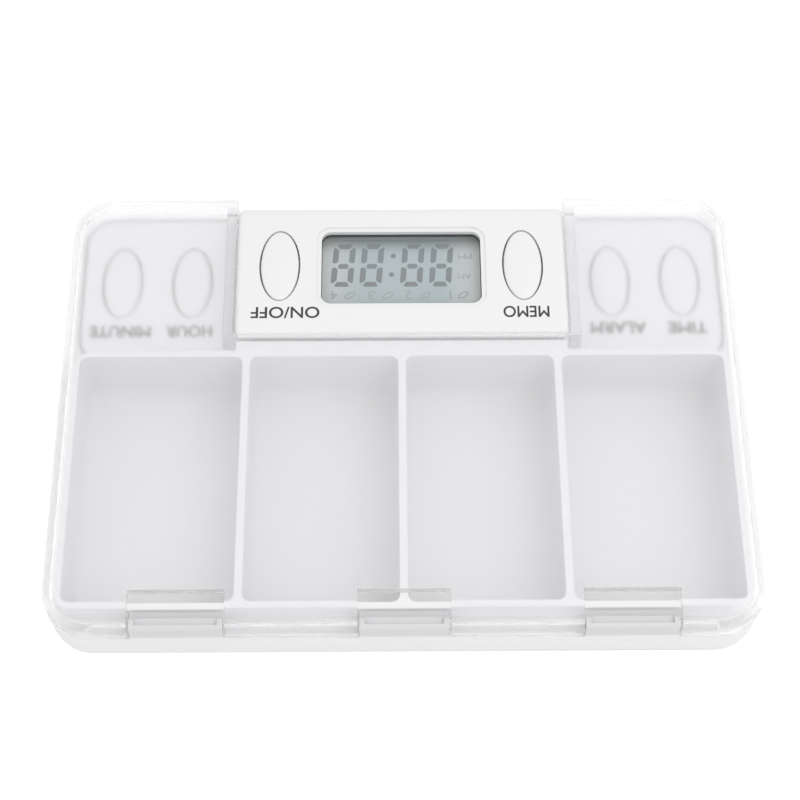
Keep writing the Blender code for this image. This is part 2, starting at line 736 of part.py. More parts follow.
def cut_hinge_swing(lid):
    """Below the axis, the rear skirt is cut back to a round that swings clear of the tray."""
    below = block(
        "swing_block",
        (-LID_SIDE_X - OVERRUN, HINGE_Y, LID_RIM_Z - OVERRUN),
        (LID_SIDE_X + OVERRUN, LID_REAR_Y + OVERRUN, HINGE_Z),
    )
    reach = LID_SIDE_X + OVERRUN + OVERRUN
    kept = rod(
        "swing_round", HINGE_SWING_RADIUS, (-reach, HINGE_Y, HINGE_Z), (reach, HINGE_Y, HINGE_Z), ROUND_STEPS
    )
    cut(below, kept)
    cut(lid, bake(below))


def make_cover():
    """The deck plate, cut back behind the raised panel, which is a hollow box open to the bay below."""
    cover = block(
        "timer_cover",
        (-DECK_SIDE_X, DECK_FRONT_Y, DECK_UNDER_Z),
        (DECK_SIDE_X, DECK_REAR_Y, DECK_TOP_Z),
        corner=DECK_CORNER_RADIUS,
    )
    join(cover, panel_shape())
    hollow = block(
        "panel_hollow",
        (-PANEL_SIDE_X + COVER_WALL, DECK_FRONT_Y + COVER_WALL, DECK_UNDER_Z - OVERRUN),
        (PANEL_SIDE_X - COVER_WALL, PANEL_REAR_Y - COVER_WALL, PANEL_UNDER_Z),
    )
    step_gap = block(
        "step_gap",
        (-PANEL_SIDE_X, BAY_REAR_Y - FIT_GAP, DECK_UNDER_Z - OVERRUN),
        (PANEL_SIDE_X, DECK_REAR_Y + OVERRUN, DECK_TOP_Z + OVERRUN),
    )
    cut(cover, hollow, step_gap)
    for number, place in enumerate(SCREW_PLACES):
        boss_top = DECK_UNDER_Z + SINK
        boss = upright_rod(f"cover_boss_{number}", COVER_BOSS_RADIUS, place, COVER_BOSS_Z, boss_top)
        hole = upright_rod(
            f"cover_boss_hole_{number}",
            SCREW_HOLE_RADIUS,
            place,
            COVER_BOSS_Z - OVERRUN,
            DECK_UNDER_Z,
            PIN_STEPS,
        )
        join(cover, boss)
        cut(cover, hole)
    cut_window(cover)
    for name, x, top in KEYS:
        hole = upright_rod(
            f"{name}_hole",
            KEY_WIDTH / 2 + FIT_GAP,
            (0, 0),
            top - COVER_WALL - OVERRUN,
            top + OVERRUN,
            KEY_STEPS,
        )
        stretch = (KEY_LENGTH / 2 + FIT_GAP) / (KEY_WIDTH / 2 + FIT_GAP)
        hole.data.transform(Matrix.Translation((x, KEY_ROW_Y, 0)) @ Matrix.Diagonal((1.0, stretch, 1.0, 1.0)))
        cut(cover, hole)
    return finish(cover, white_plastic)


def panel_shape():
    """The raised panel: a broad round along its front top edge, and small rounds elsewhere."""
    low = Vector((-PANEL_SIDE_X, DECK_FRONT_Y, DECK_UNDER_Z))
    high = Vector((PANEL_SIDE_X, PANEL_REAR_Y, BOX_HEIGHT))
    bm = plain_box(low, high)
    middle = (low + high) / 2
    front_top = [
        edge
        for edge in bm.edges
        if along(edge, 0) and edge.verts[0].co.z > middle.z and edge.verts[0].co.y < middle.y
    ]
    round_edges(bm, front_top, PANEL_FRONT_RADIUS, EDGE_STEPS)
    bm.normal_update()
    sharp = []
    for edge in bm.edges:
        on_floor = all(vert.co.z < DECK_UNDER_Z + SINK for vert in edge.verts)
        if not on_floor and edge.calc_face_angle() > SHARP_ANGLE:
            sharp.append(edge)
    round_edges(bm, sharp, PANEL_EDGE_RADIUS, SMALL_STEPS)
    return shape_from(bm, "panel")


def cut_window(cover):
    half_x = WINDOW_WIDTH / 2
    half_y = WINDOW_DEPTH / 2
    opening = block(
        "window_opening",
        (-half_x, WINDOW_Y - half_y, PANEL_UNDER_Z - OVERRUN),
        (half_x, WINDOW_Y + half_y, BOX_HEIGHT + OVERRUN),
        corner=WINDOW_RADIUS,
    )
    border = block(
        "window_border",
        (-half_x - WINDOW_BORDER, WINDOW_Y - half_y - WINDOW_BORDER, BOX_HEIGHT - WINDOW_BORDER_DEPTH),
        (half_x + WINDOW_BORDER, WINDOW_Y + half_y + WINDOW_BORDER, BOX_HEIGHT + OVERRUN),
        corner=WINDOW_RADIUS + WINDOW_BORDER,
    )
    cut(cover, opening, border)


def make_keys():
    """Each key is an oval cap with a low dome, a flange under the wall, and a stem to the switch mat."""
    half_width = KEY_WIDTH / 2
    for name, x, wall_top in KEYS:
        crown = wall_top + KEY_PROUD
        flange_top = wall_top - COVER_WALL - FIT_GAP
        flange_under = flange_top - KEY_FLANGE_THICKNESS
        rim = crown - KEY_DOME
        dome = []
        for step in range(POCKET_STEPS + 1):
            angle = math.pi / 2 * step / POCKET_STEPS
            dome.append((half_width * math.sin(angle), rim + KEY_DOME * math.cos(angle)))
        profile = dome + [
            (half_width, flange_top),
            (half_width + KEY_FLANGE, flange_top),
            (half_width + KEY_FLANGE, flange_under),
            (KEY_STEM_RADIUS, flange_under),
            (KEY_STEM_RADIUS, KEY_STEM_Z),
            (0, KEY_STEM_Z),
        ]
        local = [(radius, height - wall_top) for radius, height in profile]
        key = turned(name, local, KEY_STEPS, KEY_LENGTH / KEY_WIDTH)
        key.location = (x, KEY_ROW_Y, wall_top)
        finish(key, white_plastic)


def make_display():
    """Clear window, two-plate display cell, reflector, the frame that holds them, and the connector."""
    radius = WINDOW_RADIUS
    lens = block(
        "window_lens",
        (-LENS_HALF_X, WINDOW_Y - LENS_HALF_Y, LENS_UNDER_Z),
        (LENS_HALF_X, WINDOW_Y + LENS_HALF_Y, LENS_TOP_Z),
        corner=radius,
        steps=SMALL_STEPS,
    )
    finish(lens, clear_plastic)
    middle_z = GLASS_UNDER_Z + GLASS_THICKNESS
    glass = block(
        "lcd_glass",
        (-LENS_HALF_X, WINDOW_Y - LENS_HALF_Y + GLASS_LEDGE, GLASS_UNDER_Z),
        (LENS_HALF_X, WINDOW_Y + LENS_HALF_Y, middle_z + SINK),
    )
    upper_plate = block(
        "upper_plate",
        (-LENS_HALF_X, WINDOW_Y - LENS_HALF_Y, middle_z),
        (LENS_HALF_X, WINDOW_Y + LENS_HALF_Y, GLASS_TOP_Z),
    )
    join(glass, upper_plate)
    finish(glass, display_glass)
    opening_x = LENS_HALF_X - FRAME_LEDGE
    opening_y = LENS_HALF_Y - FRAME_LEDGE
    connector_front_y = WINDOW_Y - opening_y + FIT_GAP
    reflector = block(
        "lcd_reflector",
        (-LENS_HALF_X, connector_front_y + CONNECTOR_WIDTH + FIT_GAP, REFLECTOR_UNDER_Z),
        (LENS_HALF_X, WINDOW_Y + LENS_HALF_Y, REFLECTOR_TOP_Z),
    )
    finish(reflector, silver_film)
    frame = block(
        "lcd_frame",
        (-FRAME_HALF_X, WINDOW_Y - FRAME_HALF_Y, ON_BOARD_Z),
        (FRAME_HALF_X, WINDOW_Y + FRAME_HALF_Y, FRAME_TOP_Z),
    )
    seat = block(
        "frame_seat",
        (-LENS_HALF_X - FIT_GAP, WINDOW_Y - LENS_HALF_Y - FIT_GAP, FRAME_LEDGE_Z),
        (LENS_HALF_X + FIT_GAP, WINDOW_Y + LENS_HALF_Y + FIT_GAP, FRAME_TOP_Z + OVERRUN),
    )
    opening = block(
        "frame_opening",
        (-opening_x, WINDOW_Y - opening_y, ON_BOARD_Z - OVERRUN),
        (opening_x, WINDOW_Y + opening_y, FRAME_TOP_Z + OVERRUN),
    )
    cut(frame, seat, opening)
    finish(frame, white_plastic)
    connector = block(
        "zebra_connector",
        (-CONNECTOR_LENGTH / 2, connector_front_y, ON_BOARD_Z),
        (CONNECTOR_LENGTH / 2, connector_front_y + CONNECTOR_WIDTH, REFLECTOR_TOP_Z),
    )
    finish(connector, pink_rubber)


def make_board():
    board = block(
        "circuit_board",
        (-BAY_SIDE_X + BOARD_CLEARANCE, BAY_FRONT_Y + BOARD_CLEARANCE, BOARD_HEIGHT),
        (BAY_SIDE_X - BOARD_CLEARANCE, BAY_REAR_Y - BOARD_CLEARANCE, BOARD_TOP_Z),
        corner=BOARD_CORNER_RADIUS,
        steps=SMALL_STEPS,
    )
    for number, place in enumerate(SCREW_PLACES):
        hole = upright_rod(
            f"board_hole_{number}",
            COVER_BOSS_RADIUS + FIT_GAP,
            place,
            BOARD_HEIGHT - OVERRUN,
            BOARD_TOP_Z + OVERRUN,
        )
        cut(board, hole)
    finish(board, board_green)
    chip = turned("controller_chip", hanging_dome(CHIP_RADIUS, CHIP_HEIGHT), HOLE_STEPS)
    chip.location = (CHIP_X, CELL_Y, UNDER_BOARD_Z)
    finish(chip, black_resin)
    crystal_z = ON_BOARD_Z + CRYSTAL_RADIUS
    crystal = rod(
        "quartz_crystal",
        CRYSTAL_RADIUS,
        (CRYSTAL_X - CRYSTAL_LENGTH / 2, CRYSTAL_Y, crystal_z),
        (CRYSTAL_X + CRYSTAL_LENGTH / 2, CRYSTAL_Y, crystal_z),
    )
    finish(crystal, bright_metal)


def hanging_dome(radius, height):
    """From the flat top out to the rim, then a quarter ellipse down to the crown below."""
    points = [(0, 0)]
    for step in range(EDGE_STEPS + 1):
        angle = math.pi / 2 * step / EDGE_STEPS
        points.append((radius * math.cos(angle), -height * math.sin(angle)))
    return points


def make_switch_mats():
    """One rubber mat on each side, with a dome under each of its three keys."""
    inner_x = PANEL_KEY_X - MAT_MARGIN
    outer_x = OUTER_KEY_X + MAT_MARGIN
    for name, side in (("switch_mat_left", -1), ("switch_mat_right", 1)):
        low_x, high_x = sorted((side * inner_x, side * outer_x))
        mat = block(
            name,
            (low_x, KEY_ROW_Y - MAT_DEPTH / 2, ON_BOARD_Z),
            (high_x, KEY_ROW_Y + MAT_DEPTH / 2, ON_BOARD_Z + MAT_THICKNESS),
            corner=MAT_RADIUS,
            steps=SMALL_STEPS,
        )
        for x in (PANEL_KEY_X, INNER_KEY_X, OUTER_KEY_X):
            low_z = ON_BOARD_Z + MAT_THICKNESS / 2
            dome = upright_rod(
                "mat_dome",
                MAT_DOME_RADIUS,
                (side * x, KEY_ROW_Y),
                low_z,
                MAT_DOME_Z,
                HOLE_STEPS,
                MAT_DOME_TOP_RADIUS,
            )
            join(mat, dome)
        finish(mat, grey_rubber)


def make_buzzer():
    ring_top = BUZZER_RING_Z + FIT_GAP
    disc_top = ring_top + BUZZER_THICKNESS
    ceramic_top = disc_top + BUZZER_CERAMIC_THICKNESS
    profile = [
        (0, ceramic_top),
        (BUZZER_CERAMIC_RADIUS, ceramic_top),
        (BUZZER_CERAMIC_RADIUS, disc_top),
        (BUZZER_RADIUS, disc_top),
        (BUZZER_RADIUS, ring_top),
        (0, ring_top),
    ]
    buzzer = turned("buzzer_disc", profile, ROUND_STEPS)
    buzzer.location = (BUZZER_X, BUZZER_Y, 0)
    finish(buzzer, brass)
    start_z = ceramic_top + FIT_GAP + WIRE_RADIUS
    for name, side, material in (("buzzer_wire_red", -1, red_wire), ("buzzer_wire_black", 1, black_wire)):
        y = BUZZER_Y + side * WIRE_SPACING / 2
        points = []
        for step in range(WIRE_STEPS + 1):
            share = step / WIRE_STEPS
            x = BUZZER_X - WIRE_REACH * math.sin(share * math.pi / 2)
            points.append((x, y, start_z + (UNDER_BOARD_Z - start_z) * share**3))
        finish(wire(name, points, WIRE_RADIUS), material)


def wire(name, points, radius):
    """A round wire along the points, made from a bevelled curve and kept as a mesh."""
    curve = bpy.data.curves.new(name, "CURVE")
    curve.dimensions = "3D"
    curve.bevel_depth = radius
    curve.bevel_resolution = 1
    curve.use_fill_caps = True
    spline = curve.splines.new("POLY")
    spline.points.add(len(points) - 1)
    for point, place in zip(spline.points, points):
        point.co = (*place, 1.0)
    guide = bpy.data.objects.new(name, curve)
    construction.objects.link(guide)
    bpy.context.view_layer.update()
    mesh = evaluated_mesh(guide)
    bpy.data.objects.remove(guide)
    bm = bmesh.new()
    bm.from_mesh(mesh)
    bmesh.ops.remove_doubles(bm, verts=bm.verts, dist=0.000001)
    return shape_from(bm, name)


def make_battery():
    half = CELL_THICKNESS / 2
    edge = CELL_RADIUS - CELL_STEP
    profile = [
        (0, half),
        (CELL_RADIUS - CELL_RIM, half),
        (CELL_RADIUS - CELL_RIM, half - CELL_STEP),
        (edge, half - CELL_STEP),
        (CELL_RADIUS, half - CELL_STEP - CELL_STEP),
        (CELL_RADIUS, -half + CELL_STEP),
        (edge, -half),
        (0, -half),
    ]
    cell = turned("coin_cell", profile)
    cell.location = (0, CELL_Y, CELL_Z + half)
    finish(cell, bright_metal)
    make_contacts()
    make_battery_door()


def leaf(name, profile, middle_y):
    """A bent metal leaf: its (x, z) line is drawn across the width and given a thickness."""
    bm = bmesh.new()
    points = [bm.verts.new((x, middle_y - CONTACT_WIDTH / 2, z)) for x, z in profile]
    edges = [bm.edges.new(pair) for pair in zip(points, points[1:])]
    drawn = bmesh.ops.extrude_edge_only(bm, edges=edges)
    moved = [item for item in drawn["geom"] if isinstance(item, bmesh.types.BMVert)]
    bmesh.ops.translate(bm, vec=(0, CONTACT_WIDTH, 0), verts=moved)
    bmesh.ops.recalc_face_normals(bm, faces=bm.faces)
    obj = shape_from(bm, name)
    solidify = obj.modifiers.new("thickness", "SOLIDIFY")
    solidify.thickness = CONTACT_THICKNESS
    solidify.offset = 0
    solidify.use_even_offset = True
    return obj


def make_contacts():
    half = CONTACT_THICKNESS / 2
    foot_z = UNDER_BOARD_Z - half
    touch_z = CELL_TOP_Z + FIT_GAP + half
    bend_start = CONTACT_LENGTH / 2
    profile = [(-CONTACT_LENGTH / 2, touch_z), (0, touch_z), (CONTACT_FOOT, foot_z), (bend_start, foot_z)]
    finish(leaf("contact_negative", profile, CELL_Y), bright_metal)
    side_x = CELL_OPENING_RADIUS + half
    profile = [
        (side_x, CELL_SEAT_Z + FIT_GAP),
        (side_x, foot_z),
        (side_x + CONTACT_FOOT, foot_z),
    ]
    finish(leaf("contact_positive", profile, CELL_Y), bright_metal)


def make_battery_door():
    """A round door with a coin slot outside and two tabs that turn under the tray's lip."""
    door = upright_rod("battery_door", DOOR_RADIUS, (0, 0), 0, DOOR_THICKNESS, ROUND_STEPS)
    tabs = block(
        "door_tabs",
        (-DOOR_RADIUS - DOOR_TAB_REACH, -DOOR_TAB_WIDTH / 2, DOOR_THICKNESS - DOOR_TAB_THICKNESS),
        (DOOR_RADIUS + DOOR_TAB_REACH, DOOR_TAB_WIDTH / 2, DOOR_THICKNESS),
    )
    slot = block(
        "door_slot",
        (-DOOR_SLOT_LENGTH / 2, -DOOR_SLOT_WIDTH / 2, -OVERRUN),
        (DOOR_SLOT_LENGTH / 2, DOOR_SLOT_WIDTH / 2, DOOR_SLOT_DEPTH),
        corner=DOOR_SLOT_WIDTH / 2 - DOOR_EDGE_RADIUS,
        steps=SMALL_STEPS,
    )
    join(door, tabs)
    cut(door, slot)
    door.location = (0, CELL_Y, DOOR_RECESS)
    tabs.location = door.location
    slot.location = door.location
    bpy.context.view_layer.update()
    finish(door, white_plastic)


def make_screws():
    """Pan-head screws that pull the cover's bosses down onto the tray."""
    for number, place in enumerate(SCREW_PLACES, 1):
        tip_z = SCREW_HEAD_TOP_Z + SCREW_LENGTH
        profile = [
            (0, tip_z),
            (SCREW_SHANK_RADIUS, tip_z - SCREW_SHANK_RADIUS),
            (SCREW_SHANK_RADIUS, SCREW_HEAD_TOP_Z),
            (SCREW_HEAD_RADIUS, SCREW_HEAD_TOP_Z),
            (SCREW_HEAD_RADIUS, SCREW_HEAD_TOP_Z - SCREW_HEAD_HEIGHT / 2),
            (SCREW_HEAD_RADIUS - SCREW_CROSS_WIDTH, SCREW_HEAD_TOP_Z - SCREW_HEAD_HEIGHT),
            (0, SCREW_HEAD_TOP_Z - SCREW_HEAD_HEIGHT),
        ]
        screw = turned(f"cover_screw_{number}", profile, PIN_STEPS)
        screw.location = (*place, 0)
        under_z = SCREW_HEAD_TOP_Z - SCREW_HEAD_HEIGHT
        for half_x, half_y in (
            (SCREW_CROSS_LENGTH / 2, SCREW_CROSS_WIDTH / 2),
            (SCREW_CROSS_WIDTH / 2, SCREW_CROSS_LENGTH / 2),
        ):
            groove = block(
                "cross_groove",
                (place[0] - half_x, place[1] - half_y, under_z - OVERRUN),
                (place[0] + half_x, place[1] + half_y, under_z + SCREW_CROSS_DEPTH),
            )
            cut(screw, groove)
        bpy.context.view_layer.update()
        finish(screw, bright_metal)


clear_scene()
parts = new_collection("pill_box")
construction = new_collection("construction")
root = bpy.data.objects.new("pill_box_root", None)
parts.objects.link(root)

white_plastic = principled("white_plastic", (0.86, 0.86, 0.87), 0.38)
frosted_plastic = principled("frosted_plastic", (0.93, 0.94, 0.95), 0.45, transmission=0.8)
clear_plastic = principled("clear_plastic", (0.96, 0.97, 0.97), 0.06, transmission=1.0)
display_glass = principled("display_glass", (0.38, 0.43, 0.44), 0.15)
silver_film = principled("silver_film", (0.62, 0.66, 0.66), 0.35, metallic=0.4)
pink_rubber = principled("pink_rubber", (0.72, 0.36, 0.34), 0.7)
grey_rubber = principled("grey_rubber", (0.42, 0.43, 0.44), 0.75)
board_green = principled("board_green", (0.03, 0.22, 0.09), 0.45)
black_resin = principled("black_resin", (0.02, 0.02, 0.02), 0.35)
bright_metal = principled("bright_metal", (0.74, 0.74, 0.73), 0.25, metallic=1.0)
brass = principled("brass", (0.78, 0.60, 0.28), 0.3, metallic=1.0)
red_wire = principled("red_wire", (0.55, 0.03, 0.02), 0.5)
black_wire = principled("black_wire", (0.02, 0.02, 0.02), 0.5)

make_tray()
make_lid()
make_cover()
make_keys()
make_display()
make_board()
make_switch_mats()
make_buzzer()
make_battery()
make_screws()
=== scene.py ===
# %% [markdown]
# # Electronic pill box
# A flat pill box stands on a pale studio floor: a white tray with four pockets, a frosted lid
# on hinge lugs, and a timer with a display and six oval keys along the front.
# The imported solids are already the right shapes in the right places, and they move on joints.
# This lesson dresses them: it gives soft shading to the mouldings, models the small things that
# a solid leaves out, such as the digits and the printed words, and gives each piece its finish.

import json
import math

import bpy
import numpy as np
from mathutils import Matrix, Vector


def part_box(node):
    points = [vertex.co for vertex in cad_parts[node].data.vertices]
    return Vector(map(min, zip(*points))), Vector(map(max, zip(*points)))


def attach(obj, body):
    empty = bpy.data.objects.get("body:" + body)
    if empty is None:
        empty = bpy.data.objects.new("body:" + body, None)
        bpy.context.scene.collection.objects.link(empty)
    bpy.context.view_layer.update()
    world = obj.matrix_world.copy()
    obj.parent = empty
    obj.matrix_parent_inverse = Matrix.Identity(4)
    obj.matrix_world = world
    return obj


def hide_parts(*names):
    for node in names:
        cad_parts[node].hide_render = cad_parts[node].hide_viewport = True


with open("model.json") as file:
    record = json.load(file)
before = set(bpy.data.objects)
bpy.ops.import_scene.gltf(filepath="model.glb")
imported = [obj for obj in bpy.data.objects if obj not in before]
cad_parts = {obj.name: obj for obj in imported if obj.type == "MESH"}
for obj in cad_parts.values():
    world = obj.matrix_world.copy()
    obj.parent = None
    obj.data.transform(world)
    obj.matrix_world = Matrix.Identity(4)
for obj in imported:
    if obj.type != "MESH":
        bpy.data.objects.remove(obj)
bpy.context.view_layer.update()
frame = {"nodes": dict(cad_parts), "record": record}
bodies = frame["record"]["behaviour"]["bodies"]
body_of_node = {node: body for body, nodes in bodies.items() for node in nodes}
slot_of_node = {part["node"]: part["material_slot"] for part in frame["record"]["subparts"]}

# %% [markdown]
# ## Camera
# The picture looks down on the box from behind the hinge, so the words stand upside down.
# The place and the two directions below come from matching the box's known edges.
# The camera's own axes are its right, its up and the way back, so they fill a matrix directly.

# %% Camera
CAMERA_PLACE = Vector((0.002312, 0.159527, 0.289185))
CAMERA_FORWARD = Vector((-0.00609, -0.50215, -0.86476))
CAMERA_UP = Vector((-0.00466, -0.86475, 0.50218))
CAMERA_LENS = 89.5037


def place_camera():
    """A camera at its measured place, whose three axes are right, up and backwards."""
    forward = CAMERA_FORWARD.normalized()
    right = forward.cross(CAMERA_UP).normalized()
    up = right.cross(forward)
    turn = Matrix((right, up, -forward)).transposed().to_4x4()
    data = bpy.data.cameras.new("studio_camera")
    data.lens = CAMERA_LENS
    data.sensor_width = 36.0
    data.clip_start = 0.01
    camera = bpy.data.objects.new("studio_camera", data)
    camera.matrix_world = Matrix.Translation(CAMERA_PLACE) @ turn
    bpy.context.scene.collection.objects.link(camera)
    bpy.context.scene.camera = camera
    return camera


camera = place_camera()
print("camera", tuple(round(value, 4) for value in camera.location))

# %% [markdown]
# ## Node helpers
# A material in Blender is a small graph of nodes. These helpers keep it readable: one feeds an
# input with a colour, a number or another node's output, one adds a node, and the others add
# the kinds used most, which are arithmetic, a rise between two levels, a colour mix, the object's
# own axes and noise.

# %% Node helpers
SOFT = "SMOOTHSTEP"


def feed(tree, value, socket):
    """Links another node's output; a colour of three shares or a plain number is set instead."""
    if isinstance(value, bpy.types.NodeSocket):
        tree.links.new(value, socket)
    else:
        socket.default_value = (*value, 1.0) if isinstance(value, tuple) else value


def add_node(tree, kind, settings=(), values=()):
    """Adds one shader node, sets its options, then feeds its inputs by socket name or number."""
    node = tree.nodes.new("ShaderNode" + kind)
    for option, value in dict(settings).items():
        setattr(node, option, value)
    for socket, value in dict(values).items():
        feed(tree, value, node.inputs[socket])
    return node


def add_math(tree, operation, *values, clamp=False):
    """One sum or product of its values, which may be kept between nought and one."""
    options = {"operation": operation, "use_clamp": clamp}
    return add_node(tree, "Math", options, dict(enumerate(values))).outputs[0]


def add_rise(tree, value, reach=(0.0, 1.0), levels=(0.0, 1.0), kind="LINEAR"):
    """While the value goes through the reach, the result goes from one level to the other."""
    values = dict(enumerate((value, *reach, *levels)))
    return add_node(tree, "MapRange", {"interpolation_type": kind}, values).outputs[0]


def add_mix(tree, share, first, second):
    """Nought gives the first colour and one the second; sockets 6 and 7 are the colours."""
    return add_node(tree, "Mix", {"data_type": "RGBA"}, {0: share, 6: first, 7: second}).outputs[2]


def add_axes(tree):
    """The object's own x, y and z as three numbers."""
    place = add_node(tree, "TexCoord")
    return add_node(tree, "SeparateXYZ", values={0: place.outputs["Object"]}).outputs


def add_noise(tree, scale, detail=2.0):
    """Noise on the object's own coordinates."""
    place = add_node(tree, "TexCoord")
    values = {"Vector": place.outputs["Object"], "Scale": scale, "Detail": detail}
    return add_node(tree, "TexNoise", values=values).outputs["Fac"]


print("soft rises use", SOFT)

# %% [markdown]
# ## Starting a material
# Every finish here starts with the Principled BSDF, which covers plastic, metal and clear plastic
# alike. A few materials look different to different rays, so a second helper lets one number
# choose between two shaders.

# %% Starting a material
def start_material(name, **values):
    """A material with one Principled BSDF, whose plain values are set on its own sockets."""
    material = bpy.data.materials.new(name)
    material.use_nodes = True
    tree = material.node_tree
    tree.nodes.clear()
    output = add_node(tree, "OutputMaterial")
    shader = add_node(tree, "BsdfPrincipled", values=values)
    tree.links.new(shader.outputs["BSDF"], output.inputs["Surface"])
    return material, tree, shader, output


def choose_shader(tree, share, shader, other, output):
    """Nought shows the first shader and one the other."""
    values = {0: share, 1: shader.outputs["BSDF"], 2: other.outputs["BSDF"]}
    mix = add_node(tree, "MixShader", values=values)
    tree.links.new(mix.outputs["Shader"], output.inputs["Surface"])


print("materials in the file so far:", len(bpy.data.materials))

# %% [markdown]
# ## Moulded skin
# Moulded plastic is never quite even. The steel of the mould leaves a fine grain, and the
# plastic cools at different speeds, so its tone and gloss drift a little over a few millimetres.
# One node group holds both effects, because nearly every piece here was moulded.
# It puts out a colour, a roughness and a height, and each material feeds them to its own shader.

# %% Moulded skin group
SKIN_INPUTS = (
    ("Colour", "Color", (0.8, 0.8, 0.8, 1.0)),
    ("Tone drift", "Float", 0.02),
    ("Roughness", "Float", 0.4),
    ("Gloss drift", "Float", 0.1),
    ("Drift scale", "Float", 90.0),
    ("Grain scale", "Float", 5000.0),
)
SKIN_OUTPUTS = (("Colour", "Color"), ("Roughness", "Float"), ("Height", "Float"))
GRAIN_DETAIL = 3.0


def add_socket(group, way, name, kind):
    """A named input or output on the outside of a node group."""
    return group.interface.new_socket(name, in_out=way, socket_type="NodeSocket" + kind)


def moulded_skin():
    """Slow noise shifts the tone; fine noise shifts the roughness and gives the height."""
    group = bpy.data.node_groups.new("moulded_skin", "ShaderNodeTree")
    for name, kind, value in SKIN_INPUTS:
        add_socket(group, "INPUT", name, kind).default_value = value
    for name, kind in SKIN_OUTPUTS:
        add_socket(group, "OUTPUT", name, kind)
    enter = group.nodes.new("NodeGroupInput").outputs
    leave = group.nodes.new("NodeGroupOutput").inputs
    drift = add_math(group, "SUBTRACT", add_noise(group, enter["Drift scale"]), 0.5)
    grain = add_noise(group, enter["Grain scale"], GRAIN_DETAIL)
    tone = add_math(group, "MULTIPLY_ADD", drift, enter["Tone drift"], 1.0)
    shaded = add_node(group, "HueSaturation", values={"Value": tone, "Color": enter["Colour"]})
    both = add_math(group, "ADD", drift, add_math(group, "SUBTRACT", grain, 0.5))
    gloss = add_math(group, "MULTIPLY_ADD", both, enter["Gloss drift"], enter["Roughness"])
    group.links.new(shaded.outputs["Color"], leave["Colour"])
    group.links.new(gloss, leave["Roughness"])
    group.links.new(grain, leave["Height"])
    return group


SKIN = moulded_skin()
print("group", SKIN.name, "with", len(SKIN.nodes), "nodes")

# %% [markdown]
# ## Rear mask for painted shade
# A finish can change from place to place without a picture, if a mask tells the places apart.
# A mask is a node group that reads the object's own coordinates and puts out one number between
# nought and one.
# The strip between the pocket wall and the rear edge looks a step greyer in the photograph than
# the tray below it. This scene's light is more even and does not give that shade, so the finishes
# of the tray and the lid carry it as painted shade. The mask reads the height too, so that the
# tray's outer wall stays white.

# %% Rear mask
REAR_REACHES = ((0.0356, 0.0368), (0.0108, 0.0118))


def start_mask(name):
    """A group with one number as its output; it comes with the object's axes."""
    group = bpy.data.node_groups.new(name, "ShaderNodeTree")
    add_socket(group, "OUTPUT", "Mask", "Float")
    leave = group.nodes.new("NodeGroupOutput")
    return group, add_axes(group), leave.inputs["Mask"]


def rear_shade_mask():
    """A rise with y behind the pocket wall, times a rise with z above the tray's rim."""
    group, axes, leave = start_mask("rear_shade_mask")
    rises = [add_rise(group, axes[axis], reach, kind=SOFT) for axis, reach in zip("YZ", REAR_REACHES)]
    group.links.new(add_math(group, "MULTIPLY", *rises), leave)
    return group


def add_mask(tree, mask):
    """One mask placed in a material."""
    return add_node(tree, "Group", {"node_tree": mask}).outputs["Mask"]


REAR_SHADE = rear_shade_mask()
print("group", REAR_SHADE.name, "with", len(REAR_SHADE.nodes), "nodes")

# %% [markdown]
# ## Moulded finishes
# White polystyrene, silicone, nickel and brass differ in colour, gloss and grain, and share the
# same way of drifting. One function gives each its own values of the group. The tray is the one
# white moulding that also uses the rear mask, for its painted shade.

# %% Moulded finishes
GRAIN_HEIGHT = 0.0001
WHITE = (0.78, 0.781, 0.785)
# Painted shade: the tray's white where the rear mask is one, behind the pockets.
WHITE_PAINTED_SHADE = (0.62, 0.622, 0.63)
WHITE_ROUGHNESS = 0.36
WHITE_TONE = 0.012


def start_moulded(
    name, colour, roughness, tone=0.02, gloss=0.08, drift=90.0, grain=5000.0, bump=0.02, **plain
):
    """A Principled BSDF fed by the skin group; the bump's height is that of the grain."""
    material, tree, shader, _ = start_material(name, **plain)
    values = {
        "Colour": colour, "Tone drift": tone, "Roughness": roughness,
        "Gloss drift": gloss, "Drift scale": drift, "Grain scale": grain,
    }
    skin = add_node(tree, "Group", {"node_tree": SKIN}, values)
    height = {"Strength": bump, "Distance": GRAIN_HEIGHT, "Height": skin.outputs["Height"]}
    relief = add_node(tree, "Bump", values=height)
    feed(tree, relief.outputs["Normal"], shader.inputs["Normal"])
    feed(tree, skin.outputs["Colour"], shader.inputs["Base Color"])
    feed(tree, skin.outputs["Roughness"], shader.inputs["Roughness"])
    return material, tree, shader, skin


def moulded(*looks, **more):
    """The material alone, for a finish that needs nothing else."""
    return start_moulded(*looks, **more)[0]


def tray_finish():
    """The common white, with painted shade that turns it greyer where the rear mask is one."""
    material, tree, _, skin = start_moulded("tray_moulding", WHITE, WHITE_ROUGHNESS, WHITE_TONE)
    feed(tree, add_mix(tree, add_mask(tree, REAR_SHADE), WHITE, WHITE_PAINTED_SHADE), skin.inputs["Colour"])
    return material


finishes = {
    "white_plastic": moulded("white_moulding", WHITE, WHITE_ROUGHNESS, WHITE_TONE),
    "grey_rubber": moulded("silicone_mat", (0.40, 0.41, 0.42), 0.62, tone=0.05),
    "silver_film": moulded("diffuse_silver", (0.62, 0.66, 0.66), 0.45, Metallic=0.8),
    "bright_metal": moulded("nickel_plate", (0.74, 0.74, 0.73), 0.24, tone=0.06, Metallic=1.0),
    "brass": moulded("brass_sheet", (0.78, 0.60, 0.28), 0.32, tone=0.08, Metallic=1.0),
    "red_wire": moulded("red_insulation", (0.55, 0.03, 0.02), 0.45),
    "black_wire": moulded("black_insulation", (0.02, 0.02, 0.02), 0.45),
    "black_resin": moulded("cast_resin", (0.02, 0.02, 0.02), 0.22, drift=400.0),
}
tray_white = tray_finish()
print(len(finishes), "moulded finishes and", tray_white.name)
